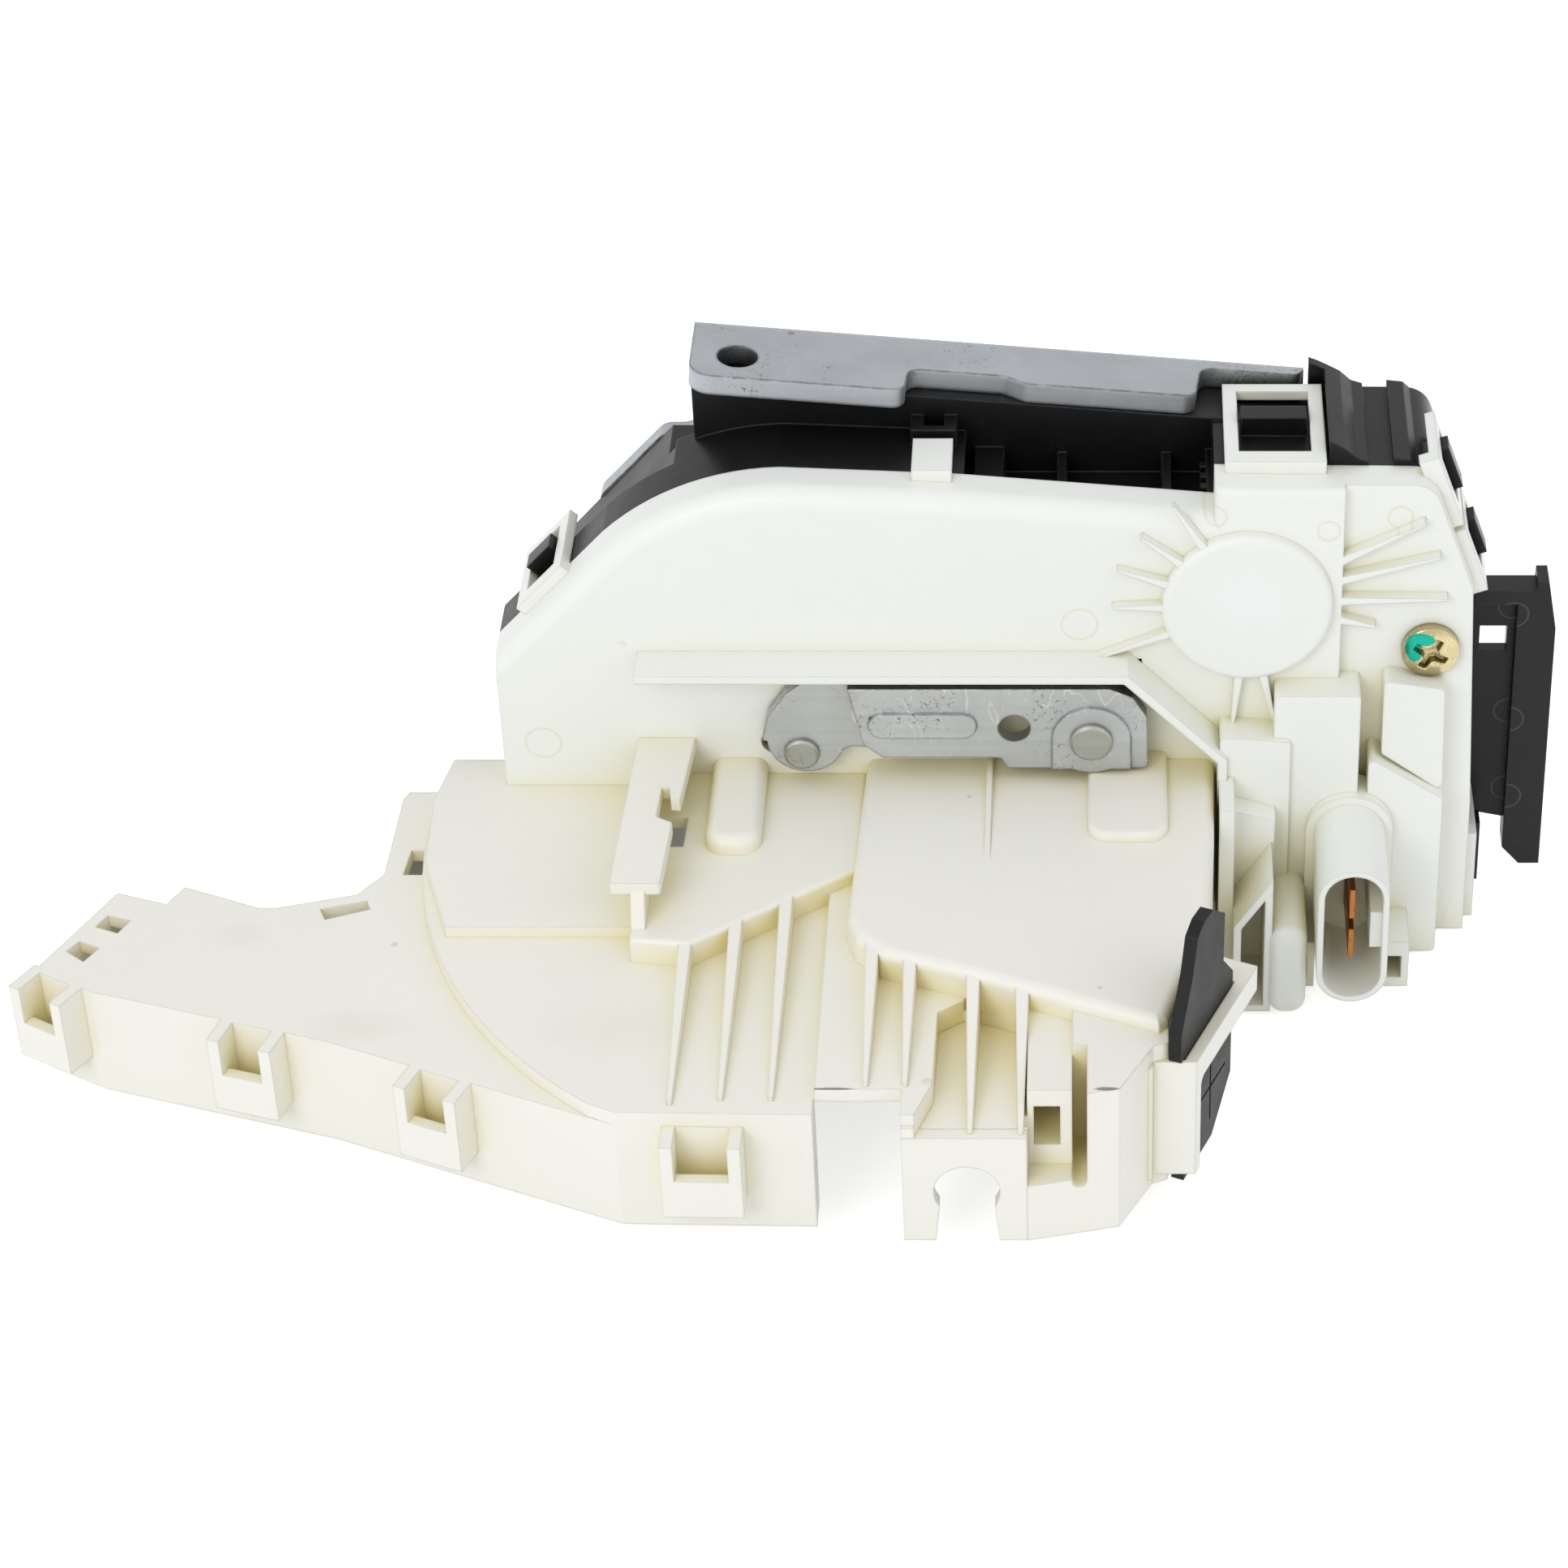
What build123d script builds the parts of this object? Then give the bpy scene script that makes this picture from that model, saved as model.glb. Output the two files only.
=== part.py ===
from build123d import *
from math import asin, atan2, cos, degrees, hypot, pi, radians, sin, tan
import os

# Door latch actuator of the left-hand kind: an upright head that holds the latch and its electric
# drive, and a flat cable tray that stands out from the foot of the head.
# X runs across the latch to the right, Y from the tray (negative) to the door's end face (positive),
# Z up. The origin lies on the face that the head rests on. Lengths are in millimetres.

os.makedirs("parts", exist_ok=True)

# ------------------------------------------------------------------ driving dimensions: head
cover_y = -20.0          # front face of the cover's main panel
joint_y = -12.5          # joint between the white cover and the black housing
web_y = 0.0              # front of the housing's inner web
web_thk = 2.0
plate_y = 10.6           # inner face of the steel face plate
plate_thk = 3.4
cover_wall = 1.8
housing_wall = 2.0
head_left = -44.4
head_right = 110.0
shoulder_z = 55.5        # where the left side turns into the rounded shoulder
crown_z = 86.4           # top of the shoulder
pocket_left, pocket_right = 28.0, 68.0    # open pocket in the head's top
pocket_z = 81.7          # rim of that pocket at its right end
pocket_floor_z = 77.5
pocket_ribs = (44.5, 60.8)
pocket_rib_height = 3.6
module_z = 86.9          # top of the right-hand module
module_edge_x = 88.0     # right edge of the main panel
module_y = -18.0         # face of the module beside it
chamber_z = 34.0         # bottom of the latch chamber
slip = 0.05              # radial clearance of a running fit
seat = 0.3               # clearance between pieces that stand beside each other

# ------------------------------------------------------------------ driving dimensions: mechanism
catch_x, catch_z = 16.0, 69.0
catch_thk = 4.2
catch_gap = 0.4          # catch and pawl to face plate
catch_jaw_r = 22.0
catch_land_r = 17.5
catch_pin_r = 4.0
striker_r = 4.75
striker_z = 85.25        # height of the striker's path
striker_depth = 17.3     # from the catch's axis to the striker at full latch
mouth_height = 11.5
throat_angle = 150.0     # direction of the catch's throat when the latch is open
catch_turn = 40.0
pawl_x, pawl_z = -4.5, 49.3
pawl_shaft_r = 3.0
pawl_tip_angle = -85.0
lock_x, lock_z = 43.6, 58.8
link_travel = 4.0        # to the left, to release the pawl
link_slack = 1.0         # to the right of rest
link_thk = 2.5
link_pin_left = (3.3, 39.6)
link_pin_right = (49.1, 44.1)
link_pin_r = 2.0
lever_pivot = (54.0, -34.0)
lever_z = 16.0
lever_thk = 2.5
cable_x, cable_z = 30.9, 16.5
wheel_x, wheel_z = 73.3, 66.2
wheel_teeth = 24
wheel_pitch_r = 10.5
worm_pitch_r = 3.0
wheel_mid_y = -9.6
pinion_teeth = 10
sector_teeth = 50

catch_pin_neck_r = 3.0
pin_head_thk = 1.2
jaw_lead = 50.0          # spread of the jaws ahead of and behind the throat
jaw_trail = 36.0
notch_floor_r = 13.2
notch_width = 24.0
tip_clearance = 0.4
pawl_hub_r = 6.0
pawl_lever_thk = 2.0
crown_gap = 0.1
lock_pin_r = 2.5
slider_gap = 0.2
slider_thk = 1.4
link_gap = 0.5
link_cam, link_cam_r = (4.0, 42.0), 6.1
link_hole, link_hole_r = (37.0, 46.1), 2.55
tail_z = 12.0
lever_tip_width = 5.0
cable_hook_r = 2.0
lever_pin_r = 3.0

# ------------------------------------------------------------------ driving dimensions: face plate
flange_z = 98.0          # top of the flange at its left end
flange_tilt = 5.0        # degrees that the flange falls to the right
flange_front_y = -4.2
flange_corner_r = 2.2
flange_hole_x, flange_hole_y, flange_hole_r = -5.7, 2.0, 3.2
plate_left, plate_right = -13.0, 82.5
bend_r = 3.6
stud_holes = ((-22.0, 56.0), (62.0, 76.0), (60.0, 38.0))
stud_hole_r = 2.5
rivet_r = 2.5
rivet_places = ((-18.0, 44.0), (30.0, 33.0), (74.0, 60.0))
plate_corner_r = 3.0
mouth_end_x = 10.0
rivet_head_r = 4.0
rivet_head_thk = 1.6
rivet_bite = 6.0

# ------------------------------------------------------------------ driving dimensions: cover
cover_edge_r = 1.2
crown_edge_r = 3.0        # broad rounding along the shoulder and crown
bulge_corner_r = 0.8
dome_r = 13.3
dome_rise = 2.2
rib_thk = 1.0
rib_rise = 1.6
shelf_left = -22.0
shelf_z = 55.6
shelf_thk = 1.5
shelf_depth = 7.0
window_left, window_right = 10.0, 57.0
window_height = 4.6
pin_slot_width = 2 * link_pin_r + 0.6
pin_slot_length = link_travel + link_slack + pin_slot_width + 0.6
lever_window_width = 14.0
lever_window_height = 6.0
socket_x, socket_z = 90.2, 18.9
socket_width, socket_height = 11.2, 26.0
socket_wall = 1.0
socket_base_y = -26.5
socket_mouth_y = -44.0
boss_margin = 1.4
bracket_reach = 7.6
ear_outline = ((71.6, 0.6), (71.6, 17.7), (77.7, 27.2), (77.7, 0.6))
ear_y = -40.0
ear_depth = 13.0
blade_thk = 0.8
blade_width = 5.6
blade_heights = (14.6, 22.4)
screw_x, screw_z = 102.2, 56.6
screw_hole_r = 2.1
clip_z = 87.4
tongue_x = 24.6
clip_thk = 1.6
clip_arm = 2.2
# clip loops of the cover on the housing: place on the outline, its direction there, width, reach back
clip_loops = (
    ((-36.0, 64.62), 47.35, 11.0, 13.5), ((77.4, 87.3), 0.0, 15.6, 20.0), ((102.94, 83.0), -70.4, 13.0, 11.0),
    ((107.43, 70.4), -70.4, 12.0, 11.0), ((110.0, 9.0), -90.0, 17.0, 11.0),
)
# the housing's left shoulder behind this depth is cut back to this line
shoulder_y = -5.0
shoulder_step = ((-60.0, 38.0), (-60.0, 95.0), (-16.0, 95.0), (-16.0, 81.0), (-26.0, 70.0), (-38.5, 56.0),
                 (-38.5, 38.0))
# bulges of the right-hand module: outline and depth of the face
module_bulges = (
    (((77.8, 1.0), (77.8, 51.9), (91.3, 51.9), (91.3, 1.0)), -25.0),
    (((95.0, 39.0), (95.0, 53.0), (104.6, 51.4), (105.0, 31.5)), -22.5),
    (((92.9, 0.5), (92.9, 39.6), (105.0, 31.6), (105.0, 0.5)), -24.5),
    (((69.3, 8.0), (69.3, 44.6), (80.5, 43.7), (80.5, 8.0)), -26.0),
)

# ------------------------------------------------------------------ driving dimensions: tray
tray_foot = 7.0
tray_wall = 2.2
arm_z = 26.5
deck_z = 29.0
back_deck_z = 31.0
strip_z = 31.0
step_deck_z = 33.4
top_deck_z = 36.2
block_z = 34.0           # block at the tray's front right corner
clamp_z = 27.0           # floor over the cable clamp
tray_back_y = cover_y
skirt_y = -98.0          # front of the tray
clamp_y = skirt_y - 3.0
clamp_slant = 3.0 / 13.4  # the clamp's front falls back by this much per length, right of X 40
strip_y = skirt_y + 3.4  # front edge of the strip over the doorway
door_left, door_right = 8.4, 21.4
skirt_corner = (-20.6, skirt_y + 0.6)

arc_centre, arc_r = (24.0, -32.0), 80.0
arc_end = 180 + degrees(asin((arc_centre[1] - skirt_y - 2.5) / arc_r))
rail_z = 40.4
rail_thk = 2.2
loop_foot_z = 13.0
loop_window_z = 20.0
loop_depth = 5.0
fixing_places = (-30.0, 36.0)
fixing_z = 14.0
fixing_r = 1.8
clamp_r = 4.9
top_deck_edge_r = 1.8
step_deck_edge_r = 0.8
deck_rib_back, deck_rib_front = 2.1, 0.8    # thickness of a rib at the deck and at its tip
rail_outline = ((-22.8, tray_back_y), (-24.1, -57.7), (-16.4, -57.7), (-15.7, -42.4), (-18.3, -40.8),
                (-18.0, -33.4), (-16.8, -33.4), (-16.4, -36.4), (-14.9, -36.6), (-13.7, tray_back_y))
# outlines of the raised decks, each with the height of its top and the rounding of its edge
decks = (
    (((-21.1, -20.0), (-21.1, -56.5), (-50.0, -56.5), (-55.0, -40.0), (-55.6, -24.0), (-53.6, -13.2),
      (-44.4, -13.2), (-44.4, -20.0)), back_deck_z, 0),
    (((8.6, -20.0), (8.6, strip_y), (door_right, strip_y), (door_right, clamp_y + 0.6), (23.4, clamp_y + 0.6),
      (25.9, -93.3), (26.2, -77.0), (30.0, -74.3), (34.0, -60.0), (34.0, -20.0)), strip_z, 0),
    (((46.4, -70.0), (46.4, clamp_y + 6.4 * clamp_slant), (53.4, clamp_y + 3.0), (58.3, -88.5), (60.6, -87.5),
      (60.6, -70.0)), block_z, 0),
    (((-21.1, -20.0), (-21.1, -62.6), (-11.8, -63.6), (2.4, -52.7), (13.0, -45.0), (13.4, -20.0)),
     step_deck_z, step_deck_edge_r),
    (((13.4, -20.0), (12.0, -60.5), (13.5, -65.0), (17.5, -69.0), (31.6, -74.0), (59.2, -85.4), (60.6, -84.0),
      (64.4, -70.4), (67.1, -58.6), (68.2, -40.3), (68.6, -20.0)), top_deck_z, top_deck_edge_r),
)
# ribs along Y: place, back and front ends, top at the back, deck below
deck_ribs = (
    (-12.6, -60.4, skirt_y + 2.2, step_deck_z, deck_z), (-5.2, -56.0, skirt_y + 3.1, step_deck_z, deck_z),
    (2.2, -50.6, skirt_y + 3.1, step_deck_z, deck_z), (16.1, -66.0, strip_y + 0.6, top_deck_z - 0.6, strip_z),
    (21.9, -69.0, strip_y + 0.6, top_deck_z - 0.6, strip_z),
    (31.5, -72.6, clamp_y + 1.0, top_deck_z - 0.6, clamp_z),
    (38.9, -75.6, clamp_y + 0.8, top_deck_z - 0.6, clamp_z),
)
# pocket over the clamp, open to the front, between the strip and the box with the window
clamp_pocket = ((23.4, -110.0), (23.4, clamp_y + 0.6), (25.9, -93.3), (26.2, -77.0), (30.0, -74.3),
                (32.0, -74.6), (39.8, -77.8), (39.8, -110.0))
clamp_box_left, clamp_box_right = 39.8, 46.4
clamp_box_y = -96.0
clamp_box_z = 32.0
clamp_ledge_z = 17.7
clamp_window_z, clamp_window_height = 21.5, 7.4
clamp_slot_x, clamp_slot_width, clamp_slot_z = 47.5, 2.2, 17.2
clamp_slot_back = -88.0
# front plate of the clamp, from the doorway to the box and from the tray's foot to the pocket's floor
clamp_plate_outline = ((door_right, tray_foot), (clamp_box_left, tray_foot), (clamp_box_left, clamp_z),
                       (door_right, clamp_z))
# belt loops on the skirt: place along X, the skirt's direction there in degrees, width
skirt_loops = ((-109.0, -30.0, 10.0), (-77.2, -17.4, 10.5), (-47.6, -22.9, 10.5), (-7.8, -1.2, 12.0))
# pill-shaped bosses at the foot of the cover: place, deck, rise above it, width, length
tray_bosses = ((-6.8, step_deck_z, 3.0, 8.7, 21.6), (54.8, top_deck_z, 1.6, 12.5, 22.0))
# small ridges on the decks along Y: place, front end, top
deck_ridges = ((33.0, -47.0, top_deck_z + 1.4),)

# ------------------------------------------------------------------ driving dimensions: seal, bracket, drive
seal_origin, seal_angle, seal_thk = (60.6, -88.4), 67.0, 2.0
seal_start = 1.6
frame_bar_z, frame_top_z, frame_thk = 26.4, 31.0, 1.8
bracket_y, bracket_thk = 0.0, 2.4
motor_r = 9.6
motor_flat = 12.6
motor_base_z = 26.0
motor_length = 28.0
motor_boss_r = 3.0
motor_shaft_r = 1.0
worm_length = 12.0
wheel_thk = 3.0
axle_r = 2.5
pinion_thk = 4.0
lock_arm_angle = 215.0   # at rest, unlocked
lock_arm_r = 22.0
lock_turn = 18.0         # turns this far anticlockwise, seen from the front, to lock
gate_pin_r = 1.5
sector_back, sector_ahead = 30.0, 8.0
sector_teeth_back = 4
spring_leg = 4.0
screw_head_r, screw_head_h = 4.55, 2.6
screw_shank_r, screw_length = 1.9, 14.0
blade_tip_y = -40.0


def facing(y):
    """Plane at depth y, seen from the front: sketch X is X, sketch Y is Z, the normal points to -Y."""
    return Plane.XZ.offset(-y)


def level(z):
    """Horizontal plane at height z."""
    return Plane.XY.offset(z)


def polar(centre, radius, angle):
    """Point at a radius and an angle, in degrees, from a centre."""
    return (centre[0] + radius * cos(radians(angle)), centre[1] + radius * sin(radians(angle)))


def clip_plane(place, angle):
    """Plane that lies on the outline at a place, seen from the front: sketch Y is Y, normal outwards."""
    return Plane((place[0], 0, place[1]), x_dir=(cos(radians(angle)), 0, sin(radians(angle))),
                 z_dir=(-sin(radians(angle)), 0, cos(radians(angle))))


# ------------------------------------------------------------------ outlines shared by the shells
def head_outline():
    """Edges of the head's outline seen from the front, without its clips."""
    with BuildLine() as outline:
        Polyline((-26.8, 74.6), (head_left, shoulder_z), (head_left, 0), (head_right, 0),
                 (head_right, 26), (108.5, 67.4), (102.8, 83.4))
        ThreePointArc((102.8, 83.4), (101.0, 85.8), (98.3, 86.6))
        Polyline((98.3, 86.6), (pocket_right, module_z), (pocket_right, pocket_z),
                 (pocket_left, 85.2), (1.1, crown_z))
        ThreePointArc((1.1, crown_z), (-14.2, 83.0), (-26.8, 74.6))
    return outline.edges()


def flange_top(x):
    """Height of the top of the face plate's flange, which falls to the right."""
    return flange_z - tan(radians(flange_tilt)) * (x - plate_left)


def flange_under(x):
    """Height of the flange's underside."""
    return flange_top(x) - plate_thk / cos(radians(flange_tilt))


# ------------------------------------------------------------------ latch housing (black)
with BuildPart() as latch_housing:
    with BuildSketch(facing(plate_y)):
        make_face(head_outline())
    extrude(amount=plate_y - joint_y)
    # crown under the steel flange, with the striker's channel at its left end
    with BuildSketch(facing(plate_y)):
        Polygon((plate_left, 80.0), (plate_left, flange_under(plate_left) - crown_gap),
                (plate_right, flange_under(plate_right) - crown_gap), (plate_right, 80.0), align=None)
    extrude(amount=plate_y - web_y)
    # seat for the flange's narrow end, on top of the right-hand part
    with BuildSketch(facing(plate_y)):
        Polygon((pocket_right, flange_under(pocket_right) - crown_gap), (pocket_right, flange_z),
                (plate_right + seat, flange_z), (plate_right + seat, flange_under(plate_right) - crown_gap),
                align=None)
    extrude(amount=1.9, mode=Mode.SUBTRACT)
    # stepped ridge at the upper right, over the whole depth beside the cover's loop
    with BuildSketch(facing(plate_y)):
        Polygon((83.2, 84.0), (83.2, 92.1), (84.7, 91.5), (86.0, 90.8), (86.0, 84.0), align=None)
    extrude(amount=1.8)
    with BuildSketch(facing(plate_y)):
        Polygon((85.7, 84.0), (85.7, 91.0), (88.2, 89.6), (90.0, 87.9), (91.8, 87.3), (92.0, 84.0),
                align=None)
        Polygon((95.5, 84.0), (95.6, 87.9), (98.2, 87.6), (99.9, 85.9), (101.6, 85.0), (102.4, 82.0),
                align=None)
    extrude(amount=plate_y - joint_y)
    # front chamber
    with BuildSketch(facing(web_y)):
        make_face(head_outline())
        offset(amount=-housing_wall)
    extrude(amount=web_y - joint_y, mode=Mode.SUBTRACT)
    # the shoulder is shallower than the rest: its floor and side wall, then the step from behind
    with BuildSketch(facing(web_y + web_thk)):
        make_face(head_outline())
        with BuildSketch(mode=Mode.INTERSECT):
            Polygon(*shoulder_step, align=None)
            offset(amount=housing_wall)
    extrude(amount=web_y + web_thk - shoulder_y + housing_wall)
    with BuildSketch(facing(plate_y)):
        Polygon(*shoulder_step, align=None)
    extrude(amount=plate_y - shoulder_y, mode=Mode.SUBTRACT)
    # pocket in the top, open to the front and above
    with BuildSketch(facing(web_y)):
        Polygon((pocket_left + 1.5, pocket_floor_z), (pocket_left + 1.5, 90), (pocket_right - 1, 90),
                (pocket_right - 1, pocket_floor_z), align=None)
    extrude(amount=web_y - joint_y, mode=Mode.SUBTRACT)
    with BuildSketch(facing(web_y)):
        Polygon((pocket_left - 0.5, pocket_floor_z), (pocket_right, pocket_floor_z), (pocket_right, 76.4),
                (pocket_left - 0.5, 76.4), align=None)
    extrude(amount=web_y - joint_y)
    # ribs, block and serrated wall in that pocket
    with BuildSketch(facing(web_y)):
        for rib_x in pocket_ribs:
            with Locations((rib_x, pocket_floor_z)):
                Rectangle(1.3, pocket_rib_height, align=(Align.CENTER, Align.MIN))
        with Locations((pocket_left + 5.2, pocket_floor_z)):
            Rectangle(4.5, pocket_rib_height + 1.0, align=(Align.CENTER, Align.MIN))
    extrude(amount=web_y - joint_y)
    with BuildSketch(level(pocket_floor_z)):
        for tooth_y in (-10.4, -7.4, -4.4):
            with Locations((pocket_right - 1.2, tooth_y)):
                Rectangle(1.6, 1.4)
    extrude(amount=pocket_z - pocket_floor_z)
    # latch chamber behind the web
    with BuildSketch(facing(plate_y)):
        Polygon((-12.5, chamber_z), (-12.5, 77.5), (plate_left - 1, 77.5), (plate_left - 1, 91.0),
                (20.5, 91.0), (40, 88.0), (42, 80), (42, 46), (34, chamber_z), align=None)
        Polygon((head_left, striker_z - mouth_height / 2), (head_left, 91.0), (plate_left, 91.0),
                (plate_left, striker_z - mouth_height / 2), align=None)
        with Locations(*stud_holes):
            Circle(stud_hole_r + 0.8)
    extrude(amount=plate_y - web_y - web_thk, mode=Mode.SUBTRACT)
    # lightening cells in the back
    with BuildSketch(facing(plate_y)):
        for cell_x in (-33, -14, 5, 24, 43):
            with Locations((cell_x, 2.5)):
                Rectangle(16, chamber_z - 5.5, align=(Align.CENTER, Align.MIN))
        for cell_x in (68, 87):
            for cell_z in (14, 36, 58):
                with Locations((cell_x, cell_z)):
                    Rectangle(16, 18)
    extrude(amount=plate_y - web_y - web_thk, mode=Mode.SUBTRACT)
    # bosses for the plate's rivets, and the holes for rivets, pins, shaft and screws
    with BuildSketch(facing(plate_y)):
        with Locations(*rivet_places):
            Circle(rivet_r + 2.5)
    extrude(amount=plate_y - web_y - web_thk)
    with BuildSketch(facing(plate_y)):
        with Locations(*rivet_places):
            Circle(rivet_r)
        with Locations((catch_x, catch_z)):
            Circle(catch_pin_r)
        with Locations((pawl_x, pawl_z)):
            Circle(pawl_shaft_r + slip)
        with Locations((lock_x, lock_z)):
            Circle(lock_pin_r)
        with Locations((wheel_x, wheel_z)):
            Circle(axle_r)
    extrude(amount=plate_y - web_y, mode=Mode.SUBTRACT)
    # fork behind the cover's middle tongue, and the hooks that its clip loops catch on
    with BuildSketch(level(clip_z + 0.6)):
        with Locations((tongue_x - 2.6, 0), (tongue_x + 2.6, 0)):
            Rectangle(1.8, 9.0)
        with Locations((tongue_x, -3.8)):
            Rectangle(7.0, 1.4)
    extrude(amount=-3.6)
    for clip_place, clip_angle, clip_width, clip_reach in clip_loops:
        with BuildSketch(clip_plane(clip_place, clip_angle).offset(clip_thk + 1.2)):
            with Locations((0, joint_y + clip_reach / 2)):
                Rectangle(clip_width - 2 * clip_arm - 1.0, 3.6)
        extrude(amount=-clip_thk - 2.4)
    # pillar for the cover's screw
    with BuildSketch(facing(web_y)):
        with Locations((screw_x, screw_z)):
            Circle(screw_shank_r + 2.6)
    extrude(amount=web_y - module_y - cover_wall - 0.1)
    with BuildSketch(facing(web_y)):
        with Locations((screw_x, screw_z)):
            Circle(screw_shank_r)
    extrude(amount=web_y - module_y, mode=Mode.SUBTRACT)

latch_housing.part.label = "latch_housing"
export_step(latch_housing.part, "parts/latch_housing.step")

# ------------------------------------------------------------------ latch cover (white)
def fan_rib_points(start, end, angle):
    """Corners of a rib that runs out from the dome between two radii and narrows to its tip."""
    wide, narrow = degrees(0.7 * rib_thk / start), degrees(0.25 * rib_thk / end)
    return [polar((wheel_x, wheel_z), radius, angle + side) for radius, side in
            ((start, -wide), (end, -narrow), (end, narrow), (start, wide))]


with BuildPart() as latch_cover:
    with BuildSketch(facing(joint_y)):
        make_face(head_outline())
    extrude(amount=joint_y - cover_y)
    with BuildSketch(facing(cover_y)):
        with Locations((module_edge_x, 0)):
            Rectangle(head_right, crown_z + 10, align=(Align.MIN, Align.MIN))
    extrude(amount=cover_y - module_y, mode=Mode.SUBTRACT)
    rim_edges = latch_cover.faces().sort_by(Axis.Y)[0].edges().filter_by(lambda e: e.center().Z > 57)
    fillet(rim_edges.filter_by(lambda e: e.center().X < pocket_right - 1), crown_edge_r)
    rim_edges = latch_cover.faces().sort_by(Axis.Y)[0].edges().filter_by(lambda e: e.center().Z > 57)
    fillet(rim_edges.filter_by(lambda e: e.center().X > pocket_right - 1), cover_edge_r)
    # stepped bulges of the right-hand module, over the motor and the terminals
    for bulge_points, bulge_y in module_bulges:
        with BuildSketch(facing(joint_y)):
            Polygon(*bulge_points, align=None)
            fillet(vertices(), bulge_corner_r)
        extrude(amount=joint_y - bulge_y)
    # inside of the shell
    with BuildSketch(facing(joint_y)):
        make_face(head_outline())
        offset(amount=-cover_wall)
    extrude(amount=joint_y - module_y - cover_wall, mode=Mode.SUBTRACT)
    with BuildSketch(facing(module_y + cover_wall)):
        make_face(head_outline())
        offset(amount=-cover_wall)
        with Locations((module_edge_x - cover_wall, 0)):
            Rectangle(head_right, crown_z + 10, align=(Align.MIN, Align.MIN), mode=Mode.SUBTRACT)
    extrude(amount=module_y - cover_y, mode=Mode.SUBTRACT)
    for bulge_points, bulge_y in module_bulges:
        with BuildSketch(facing(joint_y)):
            Polygon(*bulge_points, align=None)
            offset(amount=-cover_wall)
        extrude(amount=joint_y - bulge_y - cover_wall, mode=Mode.SUBTRACT)
    # dome over the worm wheel, with its fan of ribs
    with BuildSketch(facing(cover_y)):
        with Locations((wheel_x, wheel_z)):
            Circle(dome_r)
    extrude(amount=dome_rise)
    fillet(latch_cover.faces().filter_by(GeomType.PLANE).sort_by(Axis.Y).filter_by(
        lambda f: abs(f.center().Y - cover_y + dome_rise) < 0.01).edges(), 1.2)
    for rib_angle, rib_end in ((122, 22.0), (142, 21.0), (161, 21.4), (180, 21.0), (202, 25.3),
                               (265, 23.5), (282, 22.0)):
        with BuildSketch(facing(cover_y)):
            Polygon(*fan_rib_points(dome_r - 0.5, rib_end, rib_angle), align=None)
        extrude(amount=rib_rise)
    for rib_angle, rib_end in ((28, 30.8), (15.5, 30.9), (0.8, 31.2), (-13, 20.6)):
        rib_start = (module_edge_x - wheel_x) / cos(radians(rib_angle)) - 0.5
        with BuildSketch(facing(module_y)):
            Polygon(*fan_rib_points(rib_start, rib_end, rib_angle), align=None)
        extrude(amount=module_y - cover_y)
    # shelf over the release link, with its slanted and upright ends
    with BuildSketch(facing(cover_y)):
        Polygon((shelf_left, shelf_z), (54.2, shelf_z), (69.0, 40.3), (69.0, 32.4),
                (69.0 + shelf_thk, 32.4), (69.0 + shelf_thk, 40.9), (54.9, shelf_z + shelf_thk),
                (shelf_left, shelf_z + shelf_thk), align=None)
    extrude(amount=shelf_depth)
    # slots for the link's two rivets, the window under the shelf and the cable lever's window
    for pin_x, pin_z in (link_pin_left, link_pin_right):
        with BuildSketch(facing(cover_y + cover_wall)):
            with Locations((pin_x - (link_travel - link_slack) / 2, pin_z)):
                SlotOverall(pin_slot_length, pin_slot_width)
        extrude(amount=cover_wall, mode=Mode.SUBTRACT)
    with BuildSketch(facing(cover_y + cover_wall)):
        with Locations(((window_left + window_right) / 2, shelf_z - window_height / 2)):
            Rectangle(window_right - window_left, window_height)
        with Locations((lever_pivot[0] - (link_travel - link_slack) / 2, lever_z + lever_thk / 2)):
            Rectangle(lever_window_width, lever_window_height)
    extrude(amount=cover_wall, mode=Mode.SUBTRACT)
    # rounded bulge, slanted plate, ear pocket and wall post beside the tray
    with BuildSketch(facing(cover_y)):
        with Locations((80.3, 0.6)):
            RectangleRounded(6.0, 17.0, 2.6, align=(Align.CENTER, Align.MIN))
    extrude(amount=cover_y - ear_y + 1.0)
    fillet(latch_cover.faces().sort_by(Axis.Y)[0].edges(), 1.6)
    with BuildSketch(facing(cover_y)):
        Polygon((71.5, 33.2), (78.2, 31.2), (77.7, 12.0), (71.5, 12.0), align=None)
    extrude(amount=10)
    with BuildSketch(facing(cover_y)):
        Polygon(*ear_outline, align=None)
    extrude(amount=cover_y - ear_y)
    with BuildSketch(facing(ear_y + ear_depth)):
        Polygon(*ear_outline, align=None)
        offset(amount=-1.2)
    extrude(amount=ear_depth, mode=Mode.SUBTRACT)
    with BuildSketch(facing(cover_y)):
        Polygon((69.2, 0.5), (69.2, 37.0), (71.6, 37.0), (71.6, 0.5), align=None)
    extrude(amount=cover_y - ear_y - 5.0)
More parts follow.
